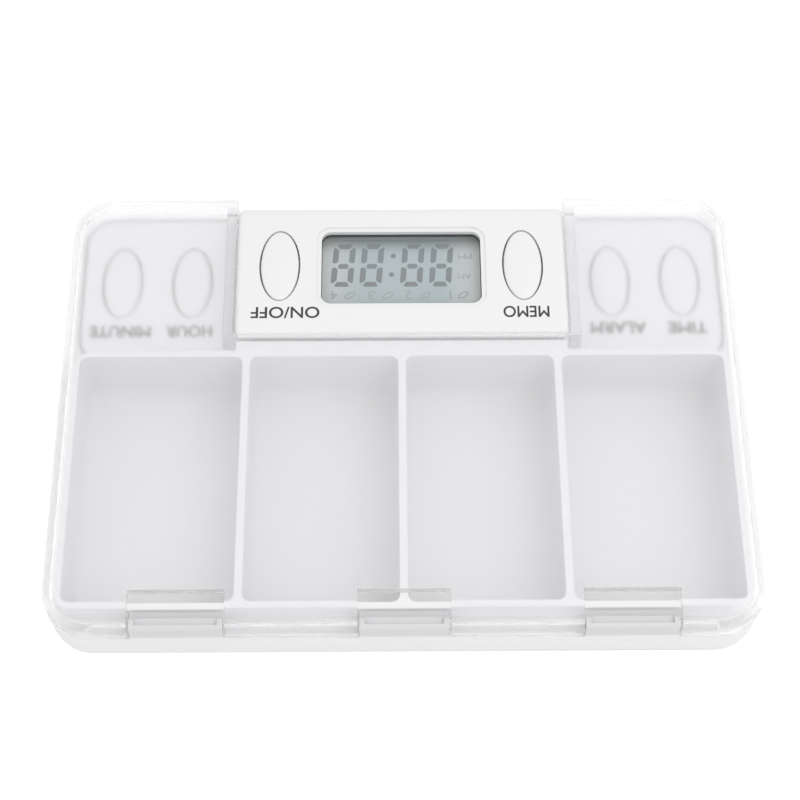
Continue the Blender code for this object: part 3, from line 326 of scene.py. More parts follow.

# %% [markdown]
# ## Lid masks
# The lid is clear plastic. Its flat middle is frosted by a fine texture in the mould, while the
# skirt and the rounded rim stay polished, so they shine like clear plastic. The frosted middle is
# a rectangle, so one step along X and one along Y, multiplied, tell frosted from polished.
# Clear plastic also gathers light inside and lets it out at its edges, as the edge of a ruler
# shows, and the front rim and the two ends of the lid look brighter for it. That light is a painted
# glow here, and a second mask finds where it goes. The rear is left out, because it is the darker side
# here.

# %% Lid masks
FROST_HALF = (0.0524, 0.0372)
FROST_FADE = 0.0006
EDGE_REACHES = ((0.0525, 0.0545), (0.0345, 0.0370))


def frost_mask():
    """A fall with |x| times a fall with |y|: one over the lid's middle, nought on its rim and skirt."""
    group, axes, leave = start_mask("frost_mask")
    falls = []
    for axis, half in zip("XY", FROST_HALF):
        far = add_math(group, "ABSOLUTE", axes[axis])
        falls.append(add_rise(group, far, (half, half + FROST_FADE), (1.0, 0.0), SOFT))
    group.links.new(add_math(group, "MULTIPLY", *falls), leave)
    return group


def edge_glow_mask():
    """The greater of a rise with |x| towards both ends and a rise with -y towards the front."""
    group, axes, leave = start_mask("edge_glow_mask")
    far = (add_math(group, "ABSOLUTE", axes["X"]), add_math(group, "MULTIPLY", axes["Y"], -1.0))
    rises = [add_rise(group, value, reach, kind=SOFT) for value, reach in zip(far, EDGE_REACHES)]
    group.links.new(add_math(group, "MAXIMUM", *rises), leave)
    return group


FROST = frost_mask()
EDGE_GLOW = edge_glow_mask()
print("groups", FROST.name, "and", EDGE_GLOW.name)

# %% [markdown]
# ## Frosted lid and clear window
# Through the frost, what lies right under the lid stays sharp and what lies deeper turns soft,
# which is what a rough refraction does. The texture scatters a little light back as well, so the
# frosted middle is tinted a shade darker than the polished rim.
# The plastic is slightly milky too: a small part of the light is scattered, not refracted.
# Lamps can't see through refraction in a path tracer, so the pockets would go dark. For the rays
# that light the inside, a Transparent shader stands in, which a Light Path node picks.
# Paths inside a thin skirt are too short here for light to gather, so the edges get a faint painted
# glow instead.

# %% Clear finishes
PLASTIC_IOR = 1.49
CLEAR_TONE = 0.01
LID_CLEAR = (0.996, 0.996, 1.0)
LID_FROSTED = (0.955, 0.955, 0.963)
# Painted shade: the polished lid's tone where the rear mask is one.
LID_PAINTED_SHADE = (0.885, 0.885, 0.89)
# Painted glow: the emission colour at the lid's front rim and two ends.
LID_GLOW = (0.034, 0.034, 0.035)
LID_PASSING = (0.985, 0.985, 0.99)
LID_ROUGHNESS = (0.2, 0.26)
LID_GLOSS = 0.03
LID_CLARITY = 0.9


def start_clear(name, colour, roughness, passing, gloss=0.0, clarity=1.0):
    """Refracting plastic for the camera, tinted Transparent for the light on its way in."""
    material, tree, shader, output = start_material(name, IOR=PLASTIC_IOR)
    shader.inputs["Transmission Weight"].default_value = clarity
    values = {"Colour": colour, "Tone drift": CLEAR_TONE, "Roughness": roughness, "Gloss drift": gloss}
    skin = add_node(tree, "Group", {"node_tree": SKIN}, values)
    feed(tree, skin.outputs["Colour"], shader.inputs["Base Color"])
    feed(tree, skin.outputs["Roughness"], shader.inputs["Roughness"])
    path = add_node(tree, "LightPath").outputs
    either = add_math(tree, "MAXIMUM", path["Is Shadow Ray"], path["Is Diffuse Ray"])
    through = add_node(tree, "BsdfTransparent", values={"Color": passing})
    choose_shader(tree, either, shader, through, output)
    return material, tree, shader, skin


def lid_finish():
    """Frost sets colour and roughness, painted shade greys the polished rear, the edges get a painted
    glow.
    """
    material, tree, shader, skin = start_clear(
        "frosted_lid", LID_CLEAR, LID_ROUGHNESS[0], LID_PASSING, LID_GLOSS, LID_CLARITY
    )
    frost = add_mask(tree, FROST)
    polished = add_mix(tree, add_mask(tree, REAR_SHADE), LID_CLEAR, LID_PAINTED_SHADE)
    feed(tree, add_mix(tree, frost, polished, LID_FROSTED), skin.inputs["Colour"])
    feed(tree, add_rise(tree, frost, levels=LID_ROUGHNESS), skin.inputs["Roughness"])
    glow = add_mix(tree, add_mask(tree, EDGE_GLOW), (0.0, 0.0, 0.0), LID_GLOW)
    feed(tree, glow, shader.inputs["Emission Color"])
    shader.inputs["Emission Strength"].default_value = 1.0
    return material


finishes["frosted_plastic"] = lid_finish()
finishes["clear_plastic"] = start_clear("clear_window", (0.97, 0.98, 0.98), 0.03, (0.93, 0.94, 0.94))[0]
print("frosted and clear plastic")

# %% [markdown]
# ## Display cell
# A display cell is two thin glass plates with a polariser on each side, so it looks grey-green
# and even. It is warmer towards its ends, and it is painted lighter there for the light that leaks
# in at its ends. The panel's front wall shades the first few millimetres of the display, as painted
# shade. Gradients along the object's own coordinates give all of that without any picture.

# %% Display finish
DISPLAY_MIDDLE = (0.44, 0.508, 0.523)
# The cell's warmer end tone, painted lighter for the light that leaks in at its ends.
DISPLAY_ENDS_TONE_AND_LIGHT = (0.60, 0.625, 0.62)
DISPLAY_SPREAD = (0.006, 0.0132)
# Painted shade of the panel's front wall over the display's first millimetres.
DISPLAY_FRONT = (-0.0318, -0.0284)
DISPLAY_SHADE = (0.6, 1.0)
DISPLAY_ROUGHNESS = (0.32, 0.42)
CLOUD_SCALE = 160.0
CLOUD_SHARE = (0.5, -0.2)


def display_finish():
    """Colour runs from the middle tone to the warmer, painted-lighter end tone with |x|, and painted
    shade darkens it near the front wall.
    """
    material, tree, shader, _ = start_material("display_glass")
    axes = add_axes(tree)
    cloud = add_noise(tree, CLOUD_SCALE)
    ends = add_rise(tree, add_math(tree, "ABSOLUTE", axes["X"]), DISPLAY_SPREAD, kind=SOFT)
    share = add_math(tree, "MULTIPLY_ADD", cloud, *CLOUD_SHARE, clamp=True)
    total = add_math(tree, "ADD", ends, share, clamp=True)
    tint = add_mix(tree, total, DISPLAY_MIDDLE, DISPLAY_ENDS_TONE_AND_LIGHT)
    shade = add_rise(tree, axes["Y"], DISPLAY_FRONT, DISPLAY_SHADE, SOFT)
    shaded = add_node(tree, "HueSaturation", values={"Value": shade, "Color": tint})
    feed(tree, shaded.outputs["Color"], shader.inputs["Base Color"])
    feed(tree, add_rise(tree, cloud, levels=DISPLAY_ROUGHNESS), shader.inputs["Roughness"])
    return material


finishes["display_glass"] = display_finish()
print("display finish")

# %% [markdown]
# ## Circuit board and connector
# The board is glass fibre under green lacquer, with copper tracks that show through as a lighter
# green. A brick texture gives tracks that run square to each other.
# The connector is rubber in thin layers, some of them conductive, so a fine wave runs along it.

# %% Board and connector finishes
PATTERN_DULLER = 0.12


def patterned(name, kind, scale, first, second, roughness, settings=(), values=()):
    """Two colours mixed by a procedural texture on the object's own coordinates."""
    material, tree, shader, _ = start_material(name)
    place = add_node(tree, "TexCoord").outputs["Object"]
    values = {"Vector": place, "Scale": scale, **dict(values)}
    pattern = add_node(tree, kind, settings, values).outputs["Fac"]
    feed(tree, add_mix(tree, pattern, first, second), shader.inputs["Base Color"])
    levels = (roughness, roughness + PATTERN_DULLER)
    feed(tree, add_rise(tree, pattern, levels=levels), shader.inputs["Roughness"])
    return material


finishes["board_green"] = patterned(
    "green_lacquer", "TexBrick", 260.0, (0.02, 0.17, 0.07), (0.05, 0.30, 0.12), 0.28,
    values={"Mortar Size": 0.03},
)
finishes["pink_rubber"] = patterned(
    "layered_rubber", "TexWave", 2600.0, (0.72, 0.36, 0.34), (0.25, 0.12, 0.12), 0.6,
    {"wave_type": "BANDS"},
)
finish_of_node = {node: finishes[slot] for node, slot in slot_of_node.items()}
finish_of_node["base_tray"] = tray_white
for node, part in frame["nodes"].items():
    part.data.materials.clear()
    part.data.materials.append(finish_of_node[node])
print("every node has a finish")

# %% [markdown]
# ## Mesh helpers
# Every new piece below is a grid of points worked out with numpy. One helper turns a grid into
# faces, and one makes the object, hangs it on a body of the frame and names its finish.

# %% Mesh helpers
def grid_faces(rows, columns, wrap_rows=False):
    """Quads of a grid that closes round its columns: each joins a point to the next two ways."""
    row = np.arange(rows if wrap_rows else rows - 1)[:, None]
    column = np.arange(columns)[None, :]
    after = (column + 1) % columns
    below = (row + 1) % rows
    corners = (
        row * columns + column, below * columns + column,
        below * columns + after, row * columns + after,
    )
    return np.stack(np.broadcast_arrays(*corners), axis=-1).reshape(-1, 4)


def make_piece(name, points, faces, body, finish, crease=32.0):
    """A mesh object at the origin, smooth except at edges sharper than the crease."""
    mesh = bpy.data.meshes.new(name)
    mesh.from_pydata(np.asarray(points, float).reshape(-1, 3).tolist(), [], faces)
    mesh.polygons.foreach_set("use_smooth", np.ones(len(mesh.polygons), bool))
    mesh.set_sharp_from_angle(angle=math.radians(crease))
    mesh.materials.append(finish)
    piece = bpy.data.objects.new(name, mesh)
    bpy.context.scene.collection.objects.link(piece)
    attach(piece, body)
    return piece


print(len(grid_faces(3, 8)), "faces join 3 rings of 8 points")

# %% [markdown]
# ## Soft shading for the mouldings
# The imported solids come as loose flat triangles, so a rounded corner would show its facets.
# A copy whose equal corners are merged can be shaded smoothly. Large flat faces then have to keep
# their own direction, and the Weighted Normal modifier does that by giving them more say.

# %% Merged copies
WELD = 0.000001
INNER_COPIES = (
    "lcd_frame", "controller_chip", "quartz_crystal", "switch_mat_left", "switch_mat_right",
    "buzzer_disc", "buzzer_wire_red", "buzzer_wire_black", "coin_cell", "contact_negative",
    "contact_positive", "cover_screw_1", "cover_screw_2", "cover_screw_3", "cover_screw_4",
)
SHOWN_COPIES = ("base_tray", "lid", "timer_cover", "window_lens", "battery_door")


def merged_copy(node):
    """Corners that fall in the same micrometre become one point; the triangles are kept."""
    mesh = frame["nodes"][node].data
    corners = np.empty(len(mesh.vertices) * 3, np.float32)
    mesh.vertices.foreach_get("co", corners)
    mesh.calc_loop_triangles()
    triangles = np.empty(len(mesh.loop_triangles) * 3, np.int32)
    mesh.loop_triangles.foreach_get("vertices", triangles)
    steps = np.round(corners.reshape(-1, 3).astype(float) / WELD)
    points, index = np.unique(steps, axis=0, return_inverse=True)
    triangles = index.reshape(-1)[triangles].reshape(-1, 3)
    following = np.roll(triangles, 1, axis=1)
    triangles = triangles[(triangles != following).all(axis=1)]
    piece = make_piece(
        node + "_surface", points * WELD, triangles.tolist(), body_of_node[node],
        finish_of_node[node],
    )
    even = piece.modifiers.new("even_normals", "WEIGHTED_NORMAL")
    even.mode = "FACE_AREA"
    even.weight = 50
    even.keep_sharp = True
    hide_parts(node)
    return piece


copies = [merged_copy(node) for node in SHOWN_COPIES + INNER_COPIES]
print(len(copies), "merged copies,", sum(len(piece.data.polygons) for piece in copies), "triangles")

# %% [markdown]
# ## Keys
# Each key is an oval cap with a low crown that stands a little proud of its hole, a flange that
# keeps it from falling out, and a stem down to the rubber mat.
# It is a turned shape squeezed into an oval, so one profile and one turn give the whole surface.
# The profile comes first. Its crown is a superellipse, which is flat in the middle and rounds off
# quickly at the edge, as a moulded key does.

# %% Key profile
CAP_HALF_WIDTH = 0.0031
CAP_STRETCH = 13.4 / 6.2
CAP_CROWN = 0.00055
CROWN_POWER = 2.3
CROWN_STEPS = 16
FLANGE_DROP = 0.00205
FLANGE_THICKNESS = 0.0006
STEM_RADIUS = 0.0012


def key_profile(top, bottom, flange):
    """From the crown's middle out to the edge, down to the flange, and in to the stem's foot.

    The crown's height above its edge is (1 - t^p)^(1/p) of the whole, t being the share of the radius.
    """
    share = np.sin(np.linspace(0, math.pi / 2, CROWN_STEPS + 1)[1:])
    lift = (1 - share**CROWN_POWER).clip(0) ** (1 / CROWN_POWER)
    crown = np.stack([CAP_HALF_WIDTH * share, top - CAP_CROWN * (1 - lift)], axis=1)
    flange_top = top - FLANGE_DROP
    flange_foot = flange_top - FLANGE_THICKNESS
    below = np.array([
        (CAP_HALF_WIDTH, flange_top),
        (flange, flange_top),
        (flange, flange_foot),
        (STEM_RADIUS, flange_foot),
        (STEM_RADIUS, bottom),
    ])
    return np.concatenate([crown, below])


low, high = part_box("key_onoff")
profile = key_profile(high.z, low.z, (high.x - low.x) / 2)
print("a key's profile has", len(profile), "points")

# %% [markdown]
# ## Keys from the profile
# Each key takes its place and its height from its own solid, so it fits the hole in the cover. The
# points of the profile go round an ellipse, and a fan of triangles closes the top and the foot.

# %% Oval keys
KEY_TURNS = 96


def oval_key(node):
    """Each profile point goes once round an ellipse: (r cos u, stretch r sin u, z)."""
    low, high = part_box(node)
    middle = (low + high) / 2
    profile = key_profile(high.z, low.z, (high.x - low.x) / 2)
    turn = np.linspace(0, math.tau, KEY_TURNS, endpoint=False)
    radius, height = profile[:, :1], profile[:, 1:]
    rings = np.stack(np.broadcast_arrays(
        middle.x + radius * np.cos(turn), middle.y + CAP_STRETCH * radius * np.sin(turn), height
    ), axis=-1)
    rows = len(profile)
    poles = np.array([(middle.x, middle.y, high.z), (middle.x, middle.y, low.z)])
    points = np.concatenate([rings.reshape(-1, 3), poles])
    first = np.arange(KEY_TURNS)
    last = first + (rows - 1) * KEY_TURNS
    crown = np.stack([np.full(KEY_TURNS, rows * KEY_TURNS), first, np.roll(first, -1)], axis=1)
    foot = np.stack([np.full(KEY_TURNS, rows * KEY_TURNS + 1), np.roll(last, -1), last], axis=1)
    faces = grid_faces(rows, KEY_TURNS).tolist() + crown.tolist() + foot.tolist()
    piece = make_piece(
        node + "_cap", points, faces, body_of_node[node], finishes["white_plastic"]
    )
    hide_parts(node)
    return piece


KEYS = ("key_onoff", "key_memo", "key_hour", "key_minute", "key_alarm", "key_time")
keys = [oval_key(node) for node in KEYS]
print([key.name for key in keys])

# %% [markdown]
# ## Window gasket
# Between the clear window and the cover lies a thin black foam gasket. It wraps round the window's
# edge onto the display, and its lip stands up against the wall of the opening. Seen from behind it
# is the dark line along the window's front, so its black also stands in for the shade of the
# opening's front wall there. Light comes in through the window's clear edge, so the foam below the
# lip is painted grey as painted light, and a rise with the height turns one tone into the other.

# %% Foam finish
FOAM_BLACK = (0.075, 0.077, 0.08)
# Painted light: the foam's tone below the lip.
FOAM_PAINTED_LIGHT = (0.45, 0.46, 0.47)
FOAM_HEIGHTS = (0.0135, 0.0146)


def foam_finish():
    """Black foam at the lip, painted grey below it for the light that comes in through the window's
    edge.
    """
    material, tree, shader, skin = start_moulded(
        "black_foam", FOAM_BLACK, 0.8, tone=0.3, grain=3000.0, bump=0.3
    )
    rise = add_rise(tree, add_axes(tree)["Z"], FOAM_HEIGHTS, kind=SOFT)
    feed(tree, add_mix(tree, rise, FOAM_PAINTED_LIGHT, skin.outputs["Colour"]), shader.inputs["Base Color"])
    return material


foam = foam_finish()
print(foam.name, "turns black from", FOAM_HEIGHTS[0], "to", FOAM_HEIGHTS[1])

# %% [markdown]
# ## The gasket's shape
# Its section is a U with a lip, carried round the window: each corner of the section follows a
# rounded rectangle of its own size. It stays a fiftieth of a millimetre off the solids beside it,
# so that no two faces lie in each other.

# %% Gasket round the window
CORNER_TURNS = 10
WINDOW_HALF = (0.0132, 0.0071)
WINDOW_RADIUS = 0.0016
LIP = 0.00008
LIP_RISE = 0.0003
FOAM_SKIN = 0.00002
WINDOW_GAP = 0.0003


def rounded_outline(half_x, half_y, radius):
    """Four quarter circles in turn; each point is a corner's centre plus radius (cos, sin)."""
    turn = np.linspace(0, math.pi / 2, CORNER_TURNS)
    angle = (np.arange(4)[:, None] * math.pi / 2 + turn).reshape(-1)
    corner = np.repeat(np.array([(1, 1), (-1, 1), (-1, -1), (1, -1)]), CORNER_TURNS, axis=0)
    inner = np.array([half_x - radius, half_y - radius])
    return corner * inner + radius * np.stack([np.cos(angle), np.sin(angle)], axis=1)


# Its black lip is a dark piece that also stands in for the shade of the opening's front wall.
def window_shade_gasket():
    """A closed section of ten corners, each an outline at its own height."""
    low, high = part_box("window_lens")
    panel_under = high.z + WINDOW_GAP
    glass_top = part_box("lcd_glass")[1].z
    middle = (low + high) / 2
    lens_half = ((high.x - low.x) / 2, (high.y - low.y) / 2)
    lip = (WINDOW_HALF[0] - LIP, WINDOW_HALF[1] - LIP, WINDOW_RADIUS - LIP)
    back = (WINDOW_HALF[0] - FOAM_SKIN, WINDOW_HALF[1] - FOAM_SKIN, WINDOW_RADIUS - FOAM_SKIN)
    inner = (lens_half[0] + FOAM_SKIN, lens_half[1] + FOAM_SKIN, WINDOW_RADIUS + FOAM_SKIN)
    outer = (lens_half[0] + WINDOW_GAP, lens_half[1] + WINDOW_GAP, WINDOW_RADIUS + WINDOW_GAP)
    section = (
        (lip, high.z + FOAM_SKIN), (inner, high.z + FOAM_SKIN),
        (inner, low.z - FOAM_SKIN), (lip, low.z - FOAM_SKIN),
        (lip, glass_top + FOAM_SKIN), (outer, glass_top + FOAM_SKIN),
        (outer, panel_under - FOAM_SKIN), (back, panel_under - FOAM_SKIN),
        (back, panel_under + LIP_RISE), (lip, panel_under + LIP_RISE),
    )
    rings = [
        np.column_stack([rounded_outline(*size) + (middle.x, middle.y), np.full(4 * CORNER_TURNS, z)])
        for size, z in section
    ]
    faces = grid_faces(len(section), 4 * CORNER_TURNS, True).tolist()
    return make_piece("window_shade_gasket", np.stack(rings), faces, "case", foam)


gasket = window_shade_gasket()
print(gasket.name, len(gasket.data.polygons), "faces")

# %% [markdown]
# ## Display figures
# The figures are dark liquid crystal between the two plates, in the shapes of the electrodes.
# Each is a thin plate: an outline, a top, a bottom and sides. All outlines with the same number
# of corners are made at once, as one array.

# %% Thin plates
def plate_arrays(outlines, low, high):
    """n outlines of k corners become n closed plates: two n-gons and k side faces each."""
    outlines = np.asarray(outlines, float)
    across = np.roll(outlines, -1, axis=1)
    area = (outlines[..., 0] * across[..., 1] - across[..., 0] * outlines[..., 1]).sum(axis=1)
    outlines = np.where((area < 0)[:, None, None], outlines[:, ::-1], outlines)
    count, corners = outlines.shape[:2]
    level = np.array([low, high]).reshape(1, 2, 1, 1)
    flat = np.broadcast_to(outlines[:, None], (count, 2, corners, 2))
    points = np.concatenate([flat, np.broadcast_to(level, (count, 2, corners, 1))], axis=-1)
    start = (np.arange(count) * 2 * corners)[:, None]
    bottom = start + np.arange(corners)[::-1]
    top = start + corners + np.arange(corners)
    side = start + np.arange(corners)
    after = start + (np.arange(corners) + 1) % corners
    sides = np.stack([side, after, after + corners, side + corners], axis=-1).reshape(-1, 4)
    return points.reshape(-1, 3), bottom.tolist() + top.tolist() + sides.tolist()


MM = 0.001
GLASS_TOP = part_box("lcd_glass")[1].z
FIGURE_THICKNESS = 0.00002
FIGURE_LIFT = 0.000005
FIGURE_LOW = GLASS_TOP + FIGURE_LIFT
FIGURE_HIGH = FIGURE_LOW + FIGURE_THICKNESS
print("display plates from", FIGURE_LOW)

# %% [markdown]
# ## Crystal tones
# Liquid crystal that is switched on looks dark grey, and painted shade of the panel's wall changes
# its tone a little towards the figures' foot. The small row of signs is switched on only faintly, so it
# has a paler tone.

# %% Crystal tones
INK_SHADE_REACH = (-0.0285, -0.0225)
INK_GRAIN = 2500.0
INK_ROUGHNESS = (0.42, 0.58)


def ink(name, upper, lower):
    """Painted shade: one colour turns into another along y, from the figures' foot to their head."""
    material, tree, shader, _ = start_material(name)
    fade = add_rise(tree, add_axes(tree)["Y"], INK_SHADE_REACH, kind=SOFT)
    feed(tree, add_mix(tree, fade, lower, upper), shader.inputs["Base Color"])
    grain = add_noise(tree, INK_GRAIN)
    feed(tree, add_rise(tree, grain, levels=INK_ROUGHNESS), shader.inputs["Roughness"])
    return material


figure_ink = ink("figure_crystal", (0.215, 0.235, 0.245), (0.215, 0.25, 0.265))
faint_ink = ink("faint_crystal", (0.38, 0.41, 0.42), (0.36, 0.40, 0.415))
print(figure_ink.name, "and", faint_ink.name)

# %% [markdown]
# ## Seven-segment digits
# Each digit is seven bars with cut corners. On a real display every bar is an electrode of its
# own, so thin gaps part them. Three bars are drawn and turned over to give the other four, and x
# grows a little with the height, so that the digits lean.

# %% Seven-segment digits
DIGIT_HEIGHT = 8.5
DIGIT_WIDTH = 3.7
BAR = 0.95
MIDDLE_RISE = 0.2
SLANT = 0.6
DIGIT_FOOT = -30.72
DIGIT_LEFTS = (-8.83, -4.02, 2.72, 7.48)


def turned_over(bar, axis):
    """The bar turned over inside the digit's box: along the axis, w - x or h - y."""
    over = bar.copy()
    over[:, axis] = (DIGIT_WIDTH, DIGIT_HEIGHT)[axis] - over[:, axis]
    return over


def digit_segments():
    """Seven six-cornered bars in millimetres from the digit's lower left corner.

    Three are drawn, with cut corners that leave a gap between bars; the others turn them over.
    """
    w, h, b = DIGIT_WIDTH, DIGIT_HEIGHT, BAR
    half = h / 2
    level = half + MIDDLE_RISE
    top = np.array([
        (0.9, h), (w - 0.9, h), (w - 0.62, h - 0.2),
        (w - b - 0.1, h - b), (b + 0.1, h - b), (0.62, h - 0.2),
    ])
    middle = np.array([
        (b / 2 + 0.45, level), (b + 0.25, level + b / 2), (w - b - 0.25, level + b / 2),
        (w - b / 2 - 0.45, level), (w - b - 0.25, level - b / 2), (b + 0.25, level - b / 2),
    ])
    right = np.array([
        (w, half + 0.6), (w, h - 0.95), (w - 0.25, h - 0.65),
        (w - b, h - b - 0.3), (w - b, half + b / 2 + 0.25), (w - 0.42, half + 0.38),
    ])
    low_right = turned_over(right, 1)
    return np.stack([
        top, turned_over(top, 1), middle,
        right, turned_over(right, 0), low_right, turned_over(low_right, 0),
    ])


def place_digits():
    """Every segment for every digit at once; x also grows by the slant with the height."""
    bars = digit_segments()
    lefts = np.array(DIGIT_LEFTS)[:, None, None]
    x = lefts + bars[None, ..., 0] + SLANT * bars[None, ..., 1] / DIGIT_HEIGHT
    y = DIGIT_FOOT + np.broadcast_to(bars[None, ..., 1], x.shape)
    return np.stack([x, y], axis=-1).reshape(-1, 6, 2) * MM


points, faces = plate_arrays(place_digits(), FIGURE_LOW, FIGURE_HIGH)
digits = make_piece("display_digits", points, faces, "case", figure_ink)
print(digits.name, len(faces), "faces")

# %% [markdown]
# ## Colon
# Two round dots part the hours from the minutes, and they lean with the digits. Points round an
# ellipse give their outline, and the dose marks further down use the same function.

# %% Colon
COLON_DOTS = ((1.63, -24.62), (1.30, -28.33))
COLON_HALF = 0.46


def round_outline(centre, half_x, half_y, corners=24, turn=0.0):
    """Points round an ellipse that is itself turned by an angle."""
    angle = np.linspace(0, math.tau, corners, endpoint=False)
    x, y = half_x * np.cos(angle), half_y * np.sin(angle)
    turned = [x * math.cos(turn) - y * math.sin(turn), x * math.sin(turn) + y * math.cos(turn)]
    return np.stack(turned, axis=1) + centre


dots = [round_outline(dot, COLON_HALF, COLON_HALF) for dot in COLON_DOTS]
points, faces = plate_arrays(np.stack(dots) * MM, FIGURE_LOW, FIGURE_HIGH)
colon = make_piece("display_colon", points, faces, "case", figure_ink)
print(colon.name, len(faces), "faces")

# %% [markdown]
# ## Lettering
# Blender's own font gives the letters. A text object becomes a mesh first, and its points are
# then stretched to the measured box, so that the object itself stays unturned and unscaled.
# A small bevel moves the edges of the letters out where the real print is bolder.

# %% Lettering
LETTER_DEPTH = 0.5
LETTER_CURVE_STEPS = 6
LETTER_DECIMALS = 5


def lettering(name, words, box, low, thickness, finish, weight=0.0):
    """Text made a mesh, then each point moved linearly from the text's box to the wanted box.

    The weight is how far a bevel moves the letters' edges out, in shares of the font's own size.
    """
    curve = bpy.data.curves.new(name, "FONT")
    curve.body = words
    curve.bevel_depth = weight
    curve.bevel_resolution = 0
    curve.extrude = LETTER_DEPTH
    curve.resolution_u = LETTER_CURVE_STEPS
    text = bpy.data.objects.new(name + "_text", curve)
    bpy.context.scene.collection.objects.link(text)
    bpy.context.view_layer.update()
    mesh = text.to_mesh()
    points = np.empty(len(mesh.vertices) * 3)
    mesh.vertices.foreach_get("co", points)
    faces = [list(face.vertices) for face in mesh.polygons]
    text.to_mesh_clear()
    bpy.data.objects.remove(text)
    points = points.reshape(-1, 3)
    steps, index = np.unique(np.round(points, LETTER_DECIMALS), axis=0, return_inverse=True)
    faces = [list(dict.fromkeys(index.reshape(-1)[face].tolist())) for face in faces]
    faces = [face for face in faces if len(face) > 2]
    share = (steps - steps.min(axis=0)) / np.ptp(steps, axis=0)
    (left, right), (foot, head) = box
    corner = np.array([left * MM, foot * MM, low])
    size = np.array([(right - left) * MM, (head - foot) * MM, thickness])
    return make_piece(name, corner + share * size, faces, "case", finish)


NUMBER_ROW = (-21.35, -19.7)
display_words = (
    ("display_am", "AM", ((-11.67, -9.43), (-24.75, -23.65))),
    ("display_pm", "PM", ((-11.84, -9.52), (-28.8, -27.7))),
    ("display_1", "1", ((-8.3, -7.9), NUMBER_ROW)),
    ("display_2", "2", ((-1.8, -0.6), NUMBER_ROW)),
    ("display_3", "3", ((4.2, 5.5), NUMBER_ROW)),
    ("display_4", "4", ((10.5, 11.7), NUMBER_ROW)),
)
for name, words, box in display_words:
    lettering(name, words, box, FIGURE_LOW, FIGURE_THICKNESS, faint_ink)
print(len(display_words), "words on the display")

# %% [markdown]
# ## Dose marks
# The display's last row has a small sign and a number for each of four doses. The signs are too
# faint to read in the photograph, so each is a plain leaning capsule.

# %% Dose marks
MARK_CENTRES = (-10.2, -4.0, 2.2, 8.5)
MARK_Y = -20.5
MARK_OUTER = (1.05, 0.55)
MARK_INNER = (0.78, 0.30)
MARK_CORNERS = 32
MARK_TURN = 0.6


def dose_marks():
    """A small leaning capsule before each number: the ring between two ellipses."""
    rings = []
    for x in MARK_CENTRES:
        outside = round_outline((x, MARK_Y), *MARK_OUTER, MARK_CORNERS, MARK_TURN)
        inside = round_outline((x, MARK_Y), *MARK_INNER, MARK_CORNERS, MARK_TURN)
        quads = [outside, np.roll(outside, -1, axis=0), np.roll(inside, -1, axis=0), inside]
        rings.append(np.stack(quads, axis=1))
    return np.concatenate(rings) * MM


points, faces = plate_arrays(dose_marks(), FIGURE_LOW, FIGURE_HIGH)
marks = make_piece("display_dose_marks", points, faces, "case", faint_ink)
print(marks.name, len(faces), "faces")

# %% [markdown]
# ## Printed words
# The words beside the keys are pad-printed: a film of dark grey ink a few hundredths of a
# millimetre thick. Two lie on the raised panel in the open, four on the deck under the lid, where
# the frost spreads them, so these are drawn a little bolder.

# %% Words on the cover
PANEL_TOP = 0.016
DECK_TOP = 0.0103
WORD_HEIGHT = 2.2
INK_THICKNESS = 0.00002
print_ink = moulded("print_ink", (0.035, 0.035, 0.038), 0.5, tone=0.25, drift=900.0)
cover_words = (
    ("word_onoff", "ON/OFF", 13.4, 24.6, -16.8, PANEL_TOP, 0.012),
    ("word_memo", "MEMO", -24.1, -16.6, -16.8, PANEL_TOP, 0.012),
    ("word_hour", "HOUR", 31.3, 38.9, -16.45, DECK_TOP, 0.02),
    ("word_minute", "MINUTE", 41.4, 51.5, -16.45, DECK_TOP, 0.02),
    ("word_alarm", "ALARM", -40.5, -31.3, -16.8, DECK_TOP, 0.02),
    ("word_time", "TIME", -50.6, -44.1, -16.8, DECK_TOP, 0.02),
)
for name, words, left, right, foot, level, weight in cover_words:
    box = ((left, right), (foot, foot + WORD_HEIGHT))
    lettering(name, words, box, level, INK_THICKNESS, print_ink, weight)
print(len(cover_words), "words on the cover")

# %% [markdown]
# ## Floor
# The box stands on a pale floor that melts into a white surround, so no horizon shows. The floor
# lies a hair below the box, so that the two faces don't flicker through each other, and it can be
# seen through from below, so that the battery door shows.
# The camera sees the floor's glow brighter than the parts do, so the ground is white in the
# picture while the plastic keeps its shades.

# %% Floor
FLOOR_HALF = 3.0
FLOOR_DROP = 0.0001
GLOW_ON_PARTS = 0.12
GLOW_IN_PICTURE = 0.45
FLOOR_COLOUR = (0.8, 0.8, 0.8)
FLOOR_ROUGHNESS = 0.9
PURE_WHITE = (1.0, 1.0, 1.0)


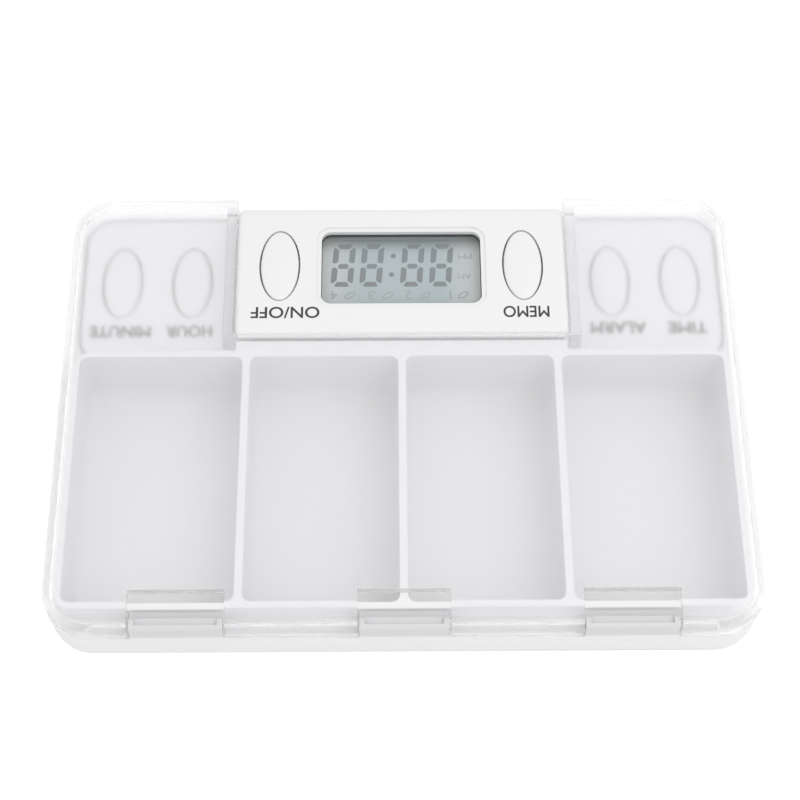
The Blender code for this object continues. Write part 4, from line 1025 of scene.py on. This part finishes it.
def studio_floor():
    """A flat square whose glow lifts it to the surround's white; its back is transparent."""
    corners = FLOOR_HALF * np.array([(-1, -1, 0), (1, -1, 0), (1, 1, 0), (-1, 1, 0)], float)
    corners[:, 2] = -FLOOR_DROP
    mesh = bpy.data.meshes.new("studio_floor")
    mesh.from_pydata(corners.tolist(), [], [(0, 1, 2, 3)])
    material, tree, shader, output = start_material("studio_white", Roughness=FLOOR_ROUGHNESS)
    feed(tree, FLOOR_COLOUR, shader.inputs["Base Color"])
    feed(tree, PURE_WHITE, shader.inputs["Emission Color"])
    seen = add_node(tree, "LightPath").outputs["Is Camera Ray"]
    glow = add_rise(tree, seen, levels=(GLOW_ON_PARTS, GLOW_IN_PICTURE))
    feed(tree, glow, shader.inputs["Emission Strength"])
    back = add_node(tree, "NewGeometry").outputs["Backfacing"]
    choose_shader(tree, back, shader, add_node(tree, "BsdfTransparent"), output)
    mesh.materials.append(material)
    floor = bpy.data.objects.new("studio_floor", mesh)
    bpy.context.scene.collection.objects.link(floor)
    return floor


floor = studio_floor()
print(floor.name)

# %% [markdown]
# ## Light
# White plastic needs light from all round, or its sides go grey. A white world gives that, and
# one large soft lamp, above, behind and to the side, gives the tops a little more than the walls.
# As with the floor, the camera sees the world a little brighter than the parts do.

# %% Light
WORLD_STRENGTH = 0.97
WORLD_IN_PICTURE = 1.05
LAMP_PLACE = (-0.28, 0.20, 0.60)
LAMP_SIZE = 0.6
LAMP_POWER = 1.15


def studio_light():
    """A white world and one square area lamp turned towards the middle of the box."""
    world = bpy.data.worlds.new("studio_world")
    world.use_nodes = True
    tree = world.node_tree
    background = tree.nodes["Background"]
    feed(tree, PURE_WHITE, background.inputs["Color"])
    seen = add_node(tree, "LightPath").outputs["Is Camera Ray"]
    strength = add_rise(tree, seen, levels=(WORLD_STRENGTH, WORLD_IN_PICTURE))
    feed(tree, strength, background.inputs["Strength"])
    bpy.context.scene.world = world
    data = bpy.data.lights.new("soft_lamp", "AREA")
    data.size = LAMP_SIZE
    data.energy = LAMP_POWER
    lamp = bpy.data.objects.new("soft_lamp", data)
    lamp.location = LAMP_PLACE
    lamp.rotation_mode = "QUATERNION"
    lamp.rotation_quaternion = (-Vector(LAMP_PLACE)).to_track_quat("-Z", "Y")
    bpy.context.scene.collection.objects.link(lamp)
    return lamp


lamp = studio_light()
bpy.context.scene.view_settings.view_transform = "Standard"
print(lamp.name, LAMP_POWER, "watts")
